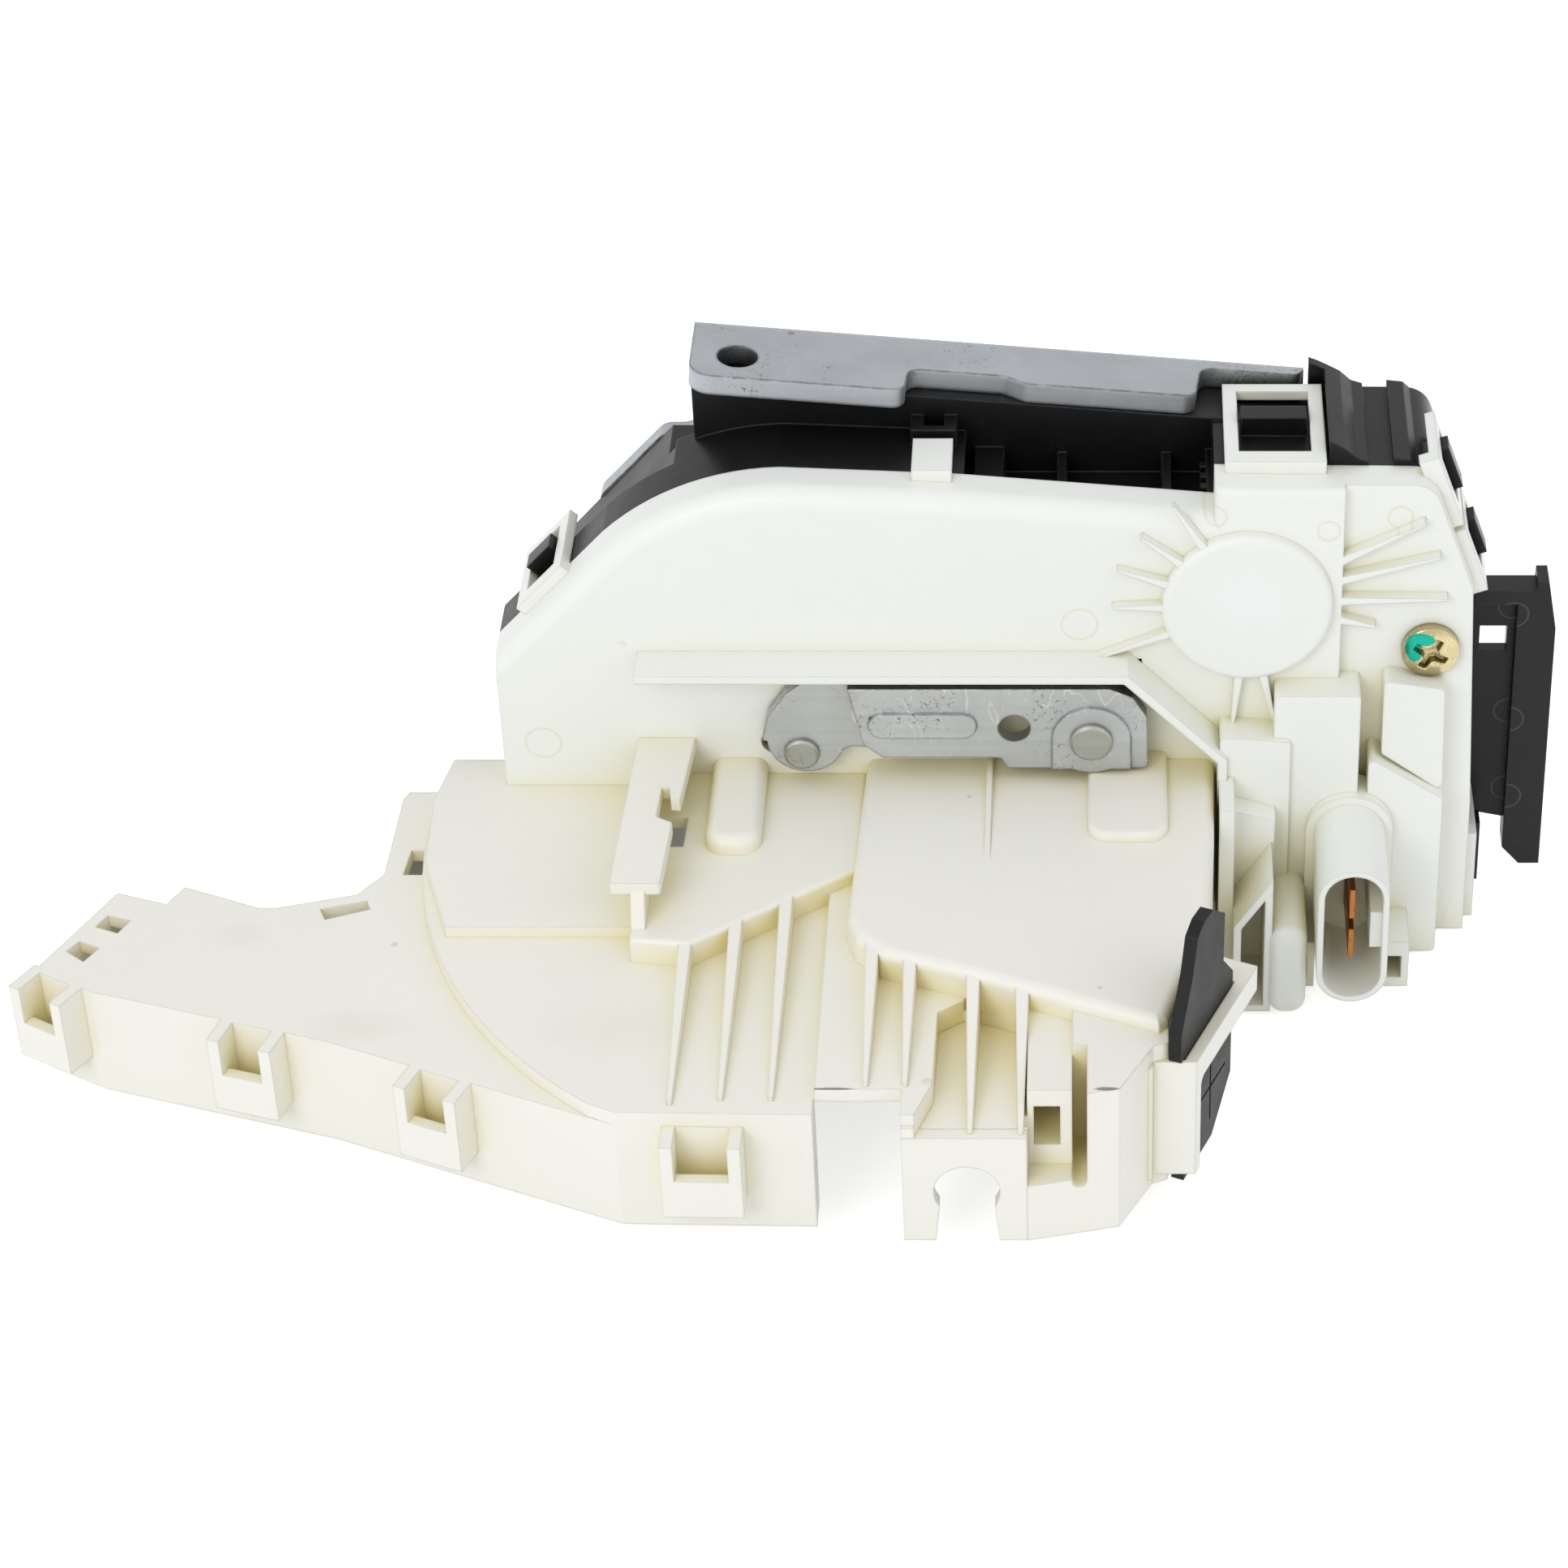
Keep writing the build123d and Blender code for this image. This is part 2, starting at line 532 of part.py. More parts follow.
    # connector: round boss, stadium tube and the two lock brackets at its foot
    with BuildSketch(facing(module_y - 2)):
        with Locations((socket_x, socket_z)):
            SlotOverall(socket_height + 2 * boss_margin, socket_width + 2 * boss_margin, rotation=90)
    extrude(amount=module_y - 2 - socket_base_y)
    with BuildSketch(facing(socket_base_y)):
        with Locations((socket_x, socket_z)):
            SlotOverall(socket_height, socket_width, rotation=90)
    extrude(amount=socket_base_y - socket_mouth_y)
    with BuildSketch(facing(socket_base_y)):
        with Locations((socket_x, socket_z)):
            SlotOverall(socket_height - 2 * socket_wall, socket_width - 2 * socket_wall, rotation=90)
    extrude(amount=socket_base_y - socket_mouth_y, mode=Mode.SUBTRACT)
    for bracket_x in (socket_x - bracket_reach, socket_x + bracket_reach):
        with BuildSketch(facing(socket_base_y + 3)):
            with Locations((bracket_x, 5)):
                Rectangle(4.6, 9)
            with Locations((bracket_x, 4.5)):
                Rectangle(2.2, 4.4, mode=Mode.SUBTRACT)
        extrude(amount=10)
    # slots through the socket's floor for the two blades
    with BuildSketch(facing(module_y + cover_wall)):
        for blade_z in blade_heights:
            with Locations((socket_x, blade_z)):
                Rectangle(blade_thk + 2 * slip, blade_width + 2 * slip)
    extrude(amount=module_y + cover_wall - socket_base_y, mode=Mode.SUBTRACT)
    # key rib inside the socket's right-hand wall
    with BuildSketch(facing(socket_base_y)):
        with Locations((socket_x + socket_width / 2 - socket_wall - 0.8, socket_z)):
            Rectangle(2.0, 7.0)
    extrude(amount=socket_base_y - socket_mouth_y - 2.0)
    # hollow of the dome, bosses for the tray's screws, and the hole for the cover's own screw
    with BuildSketch(facing(cover_y + cover_wall)):
        with Locations((wheel_x, wheel_z)):
            Circle(dome_r - cover_wall)
    extrude(amount=dome_rise, mode=Mode.SUBTRACT)
    for fixing_x in fixing_places:
        with BuildSketch(facing(joint_y)):
            with Locations((fixing_x, fixing_z)):
                Circle(fixing_r + 2.2)
        extrude(amount=joint_y - cover_y - cover_wall)
        with BuildSketch(facing(joint_y)):
            with Locations((fixing_x, fixing_z)):
                Circle(fixing_r)
        extrude(amount=joint_y - cover_y, mode=Mode.SUBTRACT)
    with BuildSketch(facing(module_y + cover_wall)):
        with Locations((screw_x, screw_z)):
            Circle(screw_hole_r)
    extrude(amount=cover_wall, mode=Mode.SUBTRACT)
    # tongue of the middle clip, with its two side ribs
    with BuildSketch(level(clip_z)):
        with Locations((tongue_x, joint_y - 2)):
            Rectangle(6.2, 8.6, align=(Align.CENTER, Align.MIN))
    extrude(amount=-1.7)
    with BuildSketch(level(clip_z)):
        with Locations((tongue_x, joint_y - 2.6)):
            Rectangle(6.2, 2.4, align=(Align.CENTER, Align.MIN))
    extrude(amount=-3.5)
    # clip loops round the outline, each hung on a root in the cover's rim
    for clip_place, clip_angle, clip_width, clip_reach in clip_loops:
        with BuildSketch(clip_plane(clip_place, clip_angle).offset(0.1)):
            with Locations((0, joint_y - 2.6)):
                Rectangle(clip_width, clip_reach + 2.6, align=(Align.CENTER, Align.MIN))
            with Locations((0, joint_y + 0.4)):
                Rectangle(clip_width - 2 * clip_arm, clip_reach - clip_arm - 0.4,
                          align=(Align.CENTER, Align.MIN), mode=Mode.SUBTRACT)
        extrude(amount=clip_thk)
        with BuildSketch(clip_plane(clip_place, clip_angle).offset(0.1)):
            with Locations((0, joint_y - 2.6)):
                Rectangle(clip_width, 2.4, align=(Align.CENTER, Align.MIN))
        extrude(amount=-1.6)

latch_cover.part.label = "latch_cover"
export_step(latch_cover.part, "parts/latch_cover.step")

# ------------------------------------------------------------------ face plate (steel, L-shaped)
flange_plane = Plane((plate_left, 0, flange_z),
                     x_dir=(cos(radians(flange_tilt)), 0, -sin(radians(flange_tilt))),
                     z_dir=(sin(radians(flange_tilt)), 0, cos(radians(flange_tilt))))
flange_length = (plate_right - plate_left) / cos(radians(flange_tilt))
with BuildPart() as face_plate:
    with BuildSketch(facing(plate_y + plate_thk)):
        Polygon((plate_left, flange_z), (plate_right, flange_top(plate_right)), (plate_right, 46.0),
                (70.0, 30.0), (50.0, 24.0), (8.0, 24.0), (-30.0, 46.0), (-30.0, 66.0), (-19.0, 78.0),
                (plate_left, 78.0), align=None)
        fillet(vertices().filter_by(lambda v: v.Y < 79), plate_corner_r)
    extrude(amount=plate_thk)
    # flange along the top, with its stepped front edge; sketched in its own tilted plane
    with BuildSketch(flange_plane):
        with BuildLine():
            Polyline((0, plate_y + plate_thk), (0, flange_front_y), (33.6, flange_front_y), (33.6, 2.2),
                     (48.7, 2.2), (52.2, 0.4), (78.6, 0.4), (79.6, plate_y - 1.6),
                     (flange_length, plate_y - 1.6), (flange_length, plate_y + plate_thk), close=True)
        make_face()
        fillet(vertices().filter_by(lambda v: v.Y < plate_y and v.X > 1), flange_corner_r)
        fillet(vertices().filter_by(lambda v: v.Y < plate_y and v.X < 1), flange_corner_r * 1.7)
        with Locations((flange_hole_x - plate_left, flange_hole_y)):
            Circle(flange_hole_r, mode=Mode.SUBTRACT)
    extrude(amount=-plate_thk)
    # outer bend
    long_edges = face_plate.edges().filter_by(lambda e: e.center().Y > plate_y + plate_thk - 0.01
                                              and e.length > 0.6 * flange_length)
    fillet(long_edges.sort_by(Axis.Z)[-1], bend_r)
    # fishmouth, open at the left edge, and the fixing holes
    with BuildSketch(facing(plate_y + plate_thk)):
        with Locations((mouth_end_x, striker_z)):
            Circle(mouth_height / 2)
            Rectangle(mouth_end_x - plate_left + 10, mouth_height, align=(Align.MAX, Align.CENTER))
        with Locations(*stud_holes):
            Circle(stud_hole_r)
        with Locations((catch_x, catch_z)):
            Circle(catch_pin_neck_r)
        with Locations((pawl_x, pawl_z)):
            Circle(pawl_shaft_r + slip)
        with Locations(*rivet_places):
            Circle(rivet_r)
    extrude(amount=plate_thk, mode=Mode.SUBTRACT)

face_plate.part.label = "face_plate"
export_step(face_plate.part, "parts/face_plate.step")

# ------------------------------------------------------------------ plate rivets
with BuildPart() as plate_rivets:
    with BuildSketch(facing(plate_y + plate_thk)):
        with Locations(*rivet_places):
            Circle(rivet_r)
    extrude(amount=plate_thk + rivet_bite)
    with BuildSketch(facing(plate_y + plate_thk + rivet_head_thk)):
        with Locations(*rivet_places):
            Circle(rivet_head_r)
    extrude(amount=rivet_head_thk)
    chamfer(plate_rivets.faces().group_by(Axis.Y)[-1].edges(), rivet_head_thk * 0.4)

plate_rivets.part.label = "plate_rivets"
export_step(plate_rivets.part, "parts/plate_rivets.step")

# ------------------------------------------------------------------ catch and its pin
catch_back_y = plate_y - catch_gap
catch_front_y = catch_back_y - catch_thk
throat_r = striker_r + 0.45
liner_thk = 1.2


def throat_outline(grow):
    """Face of the catch's throat slot, grown by an amount, in the catch's open position."""
    along = Vector(cos(radians(throat_angle)), sin(radians(throat_angle)))
    across = Vector(-along.Y, along.X)
    root = Vector(catch_x, catch_z) + along * striker_depth
    mouth = Vector(catch_x, catch_z) + along * (catch_jaw_r + 6)
    reach = throat_r + grow
    with BuildLine() as outline:
        Line(root + across * reach, mouth + across * reach)
        Line(mouth + across * reach, mouth - across * reach)
        Line(mouth - across * reach, root - across * reach)
        ThreePointArc(root - across * reach, root - along * reach, root + across * reach)
    return outline.edges()


def wedge(centre, radius, start, end):
    """Corner points of a wedge from a centre, a little over a radius, between two angles."""
    reach = radius * 1.5
    middle = (start + end) / 2
    return (centre, polar(centre, reach, start), polar(centre, reach, middle), polar(centre, reach, end))


catch_axis = (catch_x, catch_z)
with BuildPart() as catch:
    with BuildSketch(facing(catch_back_y)):
        with Locations(catch_axis):
            Circle(catch_jaw_r)
        with BuildSketch(mode=Mode.INTERSECT):
            Polygon(*wedge(catch_axis, catch_jaw_r, throat_angle - jaw_lead, throat_angle + jaw_trail),
                    align=None)
        with Locations(catch_axis):
            Circle(catch_land_r)
        make_face(throat_outline(liner_thk), mode=Mode.SUBTRACT)
        # relief for the pawl's tip with the latch open, and the notch for full latch
        for notch_angle in (pawl_tip_angle, pawl_tip_angle + catch_turn):
            with BuildSketch(mode=Mode.SUBTRACT):
                Polygon(polar(catch_axis, notch_floor_r, notch_angle - 4),
                        polar(catch_axis, catch_land_r + 3, notch_angle - 4),
                        polar(catch_axis, catch_land_r + 3, notch_angle + notch_width),
                        polar(catch_axis, notch_floor_r, notch_angle + notch_width * 0.7), align=None)
        with Locations(catch_axis):
            Circle(catch_pin_r + slip, mode=Mode.SUBTRACT)
    extrude(amount=catch_thk)

catch.part.label = "catch"
export_step(catch.part, "parts/catch.step")

with BuildPart() as throat_liner:
    with BuildSketch(facing(catch_back_y)):
        make_face(throat_outline(liner_thk))
        make_face(throat_outline(0), mode=Mode.SUBTRACT)
        with BuildSketch(mode=Mode.INTERSECT):
            with Locations(catch_axis):
                Circle(catch_jaw_r - 0.4)
    extrude(amount=catch_thk)

throat_liner.part.label = "throat_liner"
export_step(throat_liner.part, "parts/throat_liner.step")

with BuildPart() as catch_pin:
    with BuildSketch(facing(catch_back_y)):
        with Locations(catch_axis):
            Circle(catch_pin_r)
    extrude(amount=catch_back_y - web_y)
    with BuildSketch(facing(plate_y + plate_thk + pin_head_thk)):
        with Locations(catch_axis):
            Circle(catch_pin_r + 1.6)
    extrude(amount=pin_head_thk)
    with BuildSketch(facing(plate_y + plate_thk)):
        with Locations(catch_axis):
            Circle(catch_pin_neck_r)
    extrude(amount=plate_thk + catch_gap)

catch_pin.part.label = "catch_pin"
export_step(catch_pin.part, "parts/catch_pin.step")

# ------------------------------------------------------------------ pawl, its shaft and its lever
# The pawl is a hook: its tip holds the catch's notch from the right, pulling towards the shaft.
pawl_axis = (pawl_x, pawl_z)
pawl_tip = polar(catch_axis, catch_land_r + tip_clearance, pawl_tip_angle)
with BuildPart() as pawl:
    with BuildSketch(facing(catch_back_y)):
        with Locations(pawl_axis):
            Circle(pawl_hub_r)
        Polygon((pawl_x, pawl_z + 3.0), (pawl_x + 9.0, pawl_z - 2.0), (pawl_tip[0] - 6.0, pawl_tip[1] - 4.0),
                (pawl_tip[0], pawl_tip[1] - 3.4), pawl_tip, (pawl_tip[0] + 4.4, pawl_tip[1] - 0.2),
                (pawl_tip[0] + 5.4, pawl_tip[1] - 6.0), (pawl_tip[0] + 2.0, pawl_tip[1] - 9.0),
                (pawl_x, pawl_z - pawl_hub_r + 0.4), align=None)
        with Locations(pawl_axis):
            Circle(pawl_shaft_r, mode=Mode.SUBTRACT)
    extrude(amount=catch_thk)

pawl.part.label = "pawl"
export_step(pawl.part, "parts/pawl.step")

pawl_lever_y = cover_y + cover_wall + slider_gap + slider_thk + 0.6 + pawl_lever_thk
with BuildPart() as pawl_shaft:
    with BuildSketch(facing(plate_y + plate_thk)):
        with Locations(pawl_axis):
            Circle(pawl_shaft_r)
    extrude(amount=plate_y + plate_thk - pawl_lever_y + pawl_lever_thk)

pawl_shaft.part.label = "pawl_shaft"
export_step(pawl_shaft.part, "parts/pawl_shaft.step")

pin_arm_angle = degrees(atan2(link_pin_left[1] - pawl_z, link_pin_left[0] - pawl_x))
pin_arm_r = hypot(link_pin_left[0] - pawl_x, link_pin_left[1] - pawl_z)
with BuildPart() as pawl_lever:
    with BuildSketch(facing(pawl_lever_y)):
        with Locations(pawl_axis):
            Circle(pawl_hub_r)
            with Locations(Rotation(0, 0, pin_arm_angle)):
                with Locations((pin_arm_r / 2 + 2.0, 0)):
                    RectangleRounded(pin_arm_r + 9, 9.6, 3)
                with Locations((pin_arm_r - 0.4, 0)):
                    SlotOverall(9.2, 2 * link_pin_r + 1.2, mode=Mode.SUBTRACT)
        with Locations(pawl_axis):
            Circle(pawl_shaft_r, mode=Mode.SUBTRACT)
    extrude(amount=pawl_lever_thk)

pawl_lever.part.label = "pawl_lever"
export_step(pawl_lever.part, "parts/pawl_lever.step")

# ------------------------------------------------------------------ release link: steel link, slider, rivets
link_back_y = cover_y - link_gap
with BuildPart() as release_link:
    # rear leaf with the round end
    with BuildSketch(facing(link_back_y)):
        with Locations(link_cam):
            Circle(link_cam_r)
        Polygon((-2.9, 42.0), (-1.9, 46.5), (1.2, 51.0), (4.4, 53.4), (9.2, 53.6), (15.5, 53.2), (15.5, 40.5),
                (11.5, 40.9), (8.0, 39.4), align=None)
    extrude(amount=link_thk)
    # front leaf, one thickness nearer the front
    with BuildSketch(facing(link_back_y - link_thk)):
        with BuildLine():
            Polyline((11.0, 53.6), (52.0, 53.6), (55.6, 52.0), (57.8, 48.2), (58.0, 38.4), (35.8, 38.4),
                     (34.9, 40.4), (16.2, 40.4), (13.2, 43.0), close=True)
        make_face()
        fillet(vertices().filter_by(lambda v: v.X > 30), 0.9)
    extrude(amount=link_thk)
    # stiffening bead and the raised pad round the right-hand rivet
    with BuildSketch(facing(link_back_y - 2 * link_thk)):
        with Locations((22.6, 46.8)):
            SlotOverall(17.0, 4.6)
        with Locations(link_pin_right):
            Circle(6.2)
            Rectangle(12.4, link_pin_right[1] - 38.6, align=(Align.CENTER, Align.MAX))
    extrude(amount=0.6)
    with BuildSketch(facing(0)):
        with Locations(link_pin_left, link_pin_right):
            Circle(link_pin_r)
        with Locations(link_hole):
            Circle(link_hole_r)
    extrude(amount=60, mode=Mode.SUBTRACT)

release_link.part.label = "release_link"
export_step(release_link.part, "parts/release_link.step")

slider_back_y = cover_y + cover_wall + slider_gap + slider_thk
with BuildPart() as link_slider:
    with BuildSketch(facing(slider_back_y)):
        Polygon((-0.5, 35.5), (-0.5, 43.5), (8.0, 46.0), (44.0, 49.0), (55.0, 49.0),
                (lever_pivot[0] + 7.0, 38.0), (lever_pivot[0] + 7.0, tail_z), (lever_pivot[0] - 7.0, tail_z),
                (lever_pivot[0] - 7.0, 35.5), align=None)
        with Locations(link_pin_left, link_pin_right):
            Circle(link_pin_r, mode=Mode.SUBTRACT)
        with Locations((lever_pivot[0], lever_z + lever_thk / 2)):
            Rectangle(lever_tip_width + 0.8, lever_thk + 1.2, mode=Mode.SUBTRACT)
        # gate for the lock lever's pin, over the whole turn of the lever
        for gate_step in range(3):
            gate_pin = polar((lock_x, lock_z), lock_arm_r, lock_arm_angle + lock_turn * gate_step / 2)
            with Locations((gate_pin[0] + (link_travel - link_slack) / 2, gate_pin[1])):
                Rectangle(2 * gate_pin_r + link_travel + link_slack + 1.2, 2 * gate_pin_r + 1.6,
                          mode=Mode.SUBTRACT)
    extrude(amount=slider_thk)

link_slider.part.label = "link_slider"
export_step(link_slider.part, "parts/link_slider.step")

for rivet_name, rivet_place, rivet_front_y, rivet_back_y, head_r in (
        ("link_drive_rivet", link_pin_left, link_back_y - link_thk, pawl_lever_y + 0.4, 2.8),
        ("link_guide_rivet", link_pin_right, link_back_y - 2 * link_thk - 0.6, slider_back_y, 3.35)):
    with BuildPart() as link_rivet:
        with BuildSketch(facing(rivet_back_y)):
            with Locations(rivet_place):
                Circle(link_pin_r)
        extrude(amount=rivet_back_y - rivet_front_y)
        with BuildSketch(facing(rivet_front_y)):
            with Locations(rivet_place):
                Circle(head_r)
        extrude(amount=1.0)
        chamfer(link_rivet.faces().sort_by(Axis.Y)[0].edges(), 0.4)
    link_rivet.part.label = rivet_name
    export_step(link_rivet.part, f"parts/{rivet_name}.step")

# ------------------------------------------------------------------ cable lever under the tray
with BuildPart() as cable_lever:
    with BuildSketch(level(lever_z)):
        with Locations(lever_pivot):
            Circle(7.0)
        Polygon((lever_pivot[0] - lever_tip_width / 2, lever_pivot[1]),
                (lever_pivot[0] - lever_tip_width / 2, slider_back_y + 1.2),
                (lever_pivot[0] + lever_tip_width / 2, slider_back_y + 1.2),
                (lever_pivot[0] + lever_tip_width / 2, lever_pivot[1]), align=None)
        Polygon((lever_pivot[0], lever_pivot[1] - 7), (cable_x, lever_pivot[1] - 4.5),
                (cable_x, lever_pivot[1] + 4.5), (lever_pivot[0], lever_pivot[1] + 7), align=None)
        with Locations((cable_x, lever_pivot[1])):
            Circle(4.5)
            Circle(cable_hook_r, mode=Mode.SUBTRACT)
        with Locations(lever_pivot):
            Circle(lever_pin_r + slip, mode=Mode.SUBTRACT)
    extrude(amount=lever_thk)

cable_lever.part.label = "cable_lever"
export_step(cable_lever.part, "parts/cable_lever.step")

# ------------------------------------------------------------------ cable tray (cream)
arm_back = ((-54.6, -16.0), (-60.9, -16.0), (-61.7, -17.9), (-62.2, -37.6), (-65.8, -42.7), (-78.0, -46.1),
            (-80.5, -46.1), (-93.0, -40.8), (-95.2, -45.1), (-103.3, -42.3))
arm_front = ((-112.6, -61.4), (-103.2, -66.6), (-65.8, -78.3), skirt_corner, (door_left, skirt_y))
tray_right = ((60.6, -87.5), (64.4, -70.4), (67.1, -58.6), (68.2, -40.3), (68.6, tray_back_y))
clamp_front = ((door_left, strip_y), (door_right, strip_y), (door_right, clamp_y), (40.0, clamp_y),
               (53.4, clamp_y + 3.0), (58.3, -88.5))


seal_dir = Vector(cos(radians(seal_angle)), sin(radians(seal_angle)), 0)
seal_plane = Plane((*seal_origin, 0), x_dir=seal_dir, z_dir=(seal_dir.Y, -seal_dir.X, 0))


def step_arc():
    """Edges round the raised decks: an arc on the left, the skirt in front, the right wall."""
    with BuildLine() as outline:
        ThreePointArc(polar(arc_centre, arc_r, 168.0), polar(arc_centre, arc_r, 195.0),
                      polar(arc_centre, arc_r, arc_end))
        Polyline(polar(arc_centre, arc_r, arc_end), skirt_corner, (door_left, skirt_y), *clamp_front,
                 *tray_right, (head_left, tray_back_y), (head_left, -13.2), (-53.6, -13.2),
                 polar(arc_centre, arc_r, 168.0))
    return outline.edges()


def skirt_at(x):
    """Depth of the skirt's front face at a place along X."""
    for start, end in zip(arm_front, arm_front[1:]):
        if start[0] <= x <= end[0]:
            return start[1] + (end[1] - start[1]) * (x - start[0]) / (end[0] - start[0])
    return skirt_y


with BuildPart() as tray:
    with BuildSketch(level(tray_foot)):
        Polygon(*arm_back, *arm_front, (8.4, tray_back_y), (head_left, tray_back_y), (head_left, -16.0),
                align=None)
    extrude(amount=arm_z - tray_foot)
    with BuildSketch(level(tray_foot)):
        make_face(step_arc())
    extrude(amount=deck_z - tray_foot)
    # raised decks: back left, the strip over the doorway, front block, stepped deck and top deck
    for deck_points, deck_level, deck_edge_r in decks:
        with BuildSketch(level(tray_foot)):
            Polygon(*deck_points, align=None)
        extrude(amount=deck_level - tray_foot)
        if deck_edge_r:
            deck_edges = tray.edges().filter_by(lambda e: abs(e.center().Z - deck_level) < 0.01
                                                and e.center().Y < tray_back_y - 0.1)
            fillet(deck_edges, deck_edge_r)
    # underside, hollow up to each deck
    with BuildSketch(level(tray_foot)):
        Polygon(*arm_back, *arm_front, (8.4, tray_back_y), (head_left, tray_back_y), (head_left, -16.0),
                align=None)
        offset(amount=-tray_wall)
    extrude(amount=arm_z - tray_wall - tray_foot, mode=Mode.SUBTRACT)
    with BuildSketch(level(tray_foot)):
        make_face(step_arc())
        offset(amount=-tray_wall)
    extrude(amount=deck_z - tray_wall - tray_foot, mode=Mode.SUBTRACT)
    for deck_points, deck_level, deck_edge_r in decks:
        with BuildSketch(level(tray_foot)):
            Polygon(*deck_points, align=None)
            offset(amount=-tray_wall)
        extrude(amount=deck_level - tray_wall - tray_foot, mode=Mode.SUBTRACT)
    # pocket over the clamp: its floor is put in, then the space above is cleared
    with BuildSketch(level(clamp_z)):
        Polygon(*clamp_pocket, align=None)
        with BuildSketch(mode=Mode.INTERSECT):
            make_face(step_arc())
    extrude(amount=-tray_wall)
    with BuildSketch(level(clamp_z)):
        Polygon(*clamp_pocket, align=None)
    extrude(amount=20, mode=Mode.SUBTRACT)
    # box with a window beside it, set back over a ledge, and the slot between box and block
    with BuildSketch(level(clamp_ledge_z - tray_wall)):
        Polygon((clamp_box_left, -76.0), (clamp_box_left, clamp_y + 1.0), (40.0, clamp_y),
                (clamp_box_right + 4.4, clamp_y + (clamp_box_right - 35.6) * clamp_slant),
                (clamp_box_right + 4.4, -76.0), align=None)
    extrude(amount=clamp_box_z - clamp_ledge_z + tray_wall)
    with BuildSketch(facing(clamp_box_y)):
        Polygon((clamp_box_left - 0.6, clamp_ledge_z), (clamp_box_left - 0.6, 50), (clamp_box_right, 50),
                (clamp_box_right, clamp_ledge_z), align=None)
    extrude(amount=20, mode=Mode.SUBTRACT)
    with BuildSketch(facing(clamp_box_y)):
        with Locations(((clamp_box_left + clamp_box_right) / 2 - 0.4, clamp_window_z)):
            Rectangle(clamp_box_right - clamp_box_left - 2.7, clamp_window_height,
                      align=(Align.CENTER, Align.MIN))
    extrude(amount=-14, mode=Mode.SUBTRACT)
    with BuildSketch(facing(clamp_slot_back)):
        with Locations((clamp_slot_x, clamp_slot_z)):
            Circle(clamp_slot_width / 2)
            Rectangle(clamp_slot_width, 30, align=(Align.CENTER, Align.MIN))
    extrude(amount=30, mode=Mode.SUBTRACT)
    # ribs that run out from the decks to the skirt, tapering to their tips
    for rib_x, rib_back, rib_front, rib_top, rib_floor in deck_ribs:
        with BuildSketch(facing(rib_back)):
            with Locations((rib_x, rib_floor - 0.2)):
                Rectangle(deck_rib_back, rib_top - rib_floor + 0.2, align=(Align.CENTER, Align.MIN))
        with BuildSketch(facing(rib_front)):
            with Locations((rib_x, rib_floor - 0.2)):
                Rectangle(deck_rib_front, 0.8, align=(Align.CENTER, Align.MIN))
        loft()
    for ridge_x, ridge_front, ridge_top in deck_ridges:
        with BuildSketch(Plane.YZ.offset(ridge_x - rib_thk / 2)):
            Polygon((tray_back_y, top_deck_z - 1), (tray_back_y, ridge_top), (ridge_front, top_deck_z),
                    (ridge_front, top_deck_z - 1), align=None)
        extrude(amount=rib_thk)
    # doorway in the skirt, and the place of the plate with the cable clamp's keyhole beside it
    with BuildSketch(facing(skirt_y + tray_wall + 8)):
        Polygon((door_left, 0), (door_left, strip_z - 2.4), (door_right, strip_z - 2.4), (door_right, 0),
                align=None)
    extrude(amount=20, mode=Mode.SUBTRACT)
    with BuildSketch(facing(clamp_y + tray_wall)):
        Polygon(*clamp_plate_outline, align=None)
    extrude(amount=tray_wall, mode=Mode.SUBTRACT)
    # slots and windows in the arm
    with BuildSketch(level(arm_z)):
        Polygon((-105.2, -50.8), (-103.8, -48.0), (-100.0, -49.2), (-101.5, -52.4), align=None)
        Polygon((-108.6, -56.8), (-107.0, -54.4), (-103.6, -56.0), (-105.5, -59.4), align=None)
        Polygon((-71.0, -46.4), (-64.0, -44.3), (-63.2, -46.4), (-69.9, -49.0), align=None)
        Polygon((-58.6, -31.4), (-56.4, -31.4), (-56.2, -37.7), (-59.2, -37.7), align=None)
    extrude(amount=-tray_wall, mode=Mode.SUBTRACT)
    # belt loops on the skirt
    for loop_x, loop_angle, loop_width in skirt_loops:
        loop_plane = Plane((loop_x, skirt_at(loop_x), loop_foot_z), x_dir=(cos(radians(loop_angle)),
                                                             sin(radians(loop_angle)), 0), z_dir=(0, 0, 1))
        with BuildSketch(loop_plane):
            with Locations((0, 1)):
                Rectangle(loop_width, loop_depth + 1, align=(Align.CENTER, Align.MAX))
            with Locations((0, -0.2)):
                Rectangle(loop_width - 4, loop_depth - 2, align=(Align.CENTER, Align.MAX), mode=Mode.SUBTRACT)
        extrude(amount=arm_z - loop_foot_z)
        with BuildSketch(loop_plane.offset(loop_window_z - loop_foot_z)):
            with Locations((0, -0.2)):
                Rectangle(loop_width - 4, loop_depth + 3, align=(Align.CENTER, Align.MAX))
        extrude(amount=arm_z, mode=Mode.SUBTRACT)
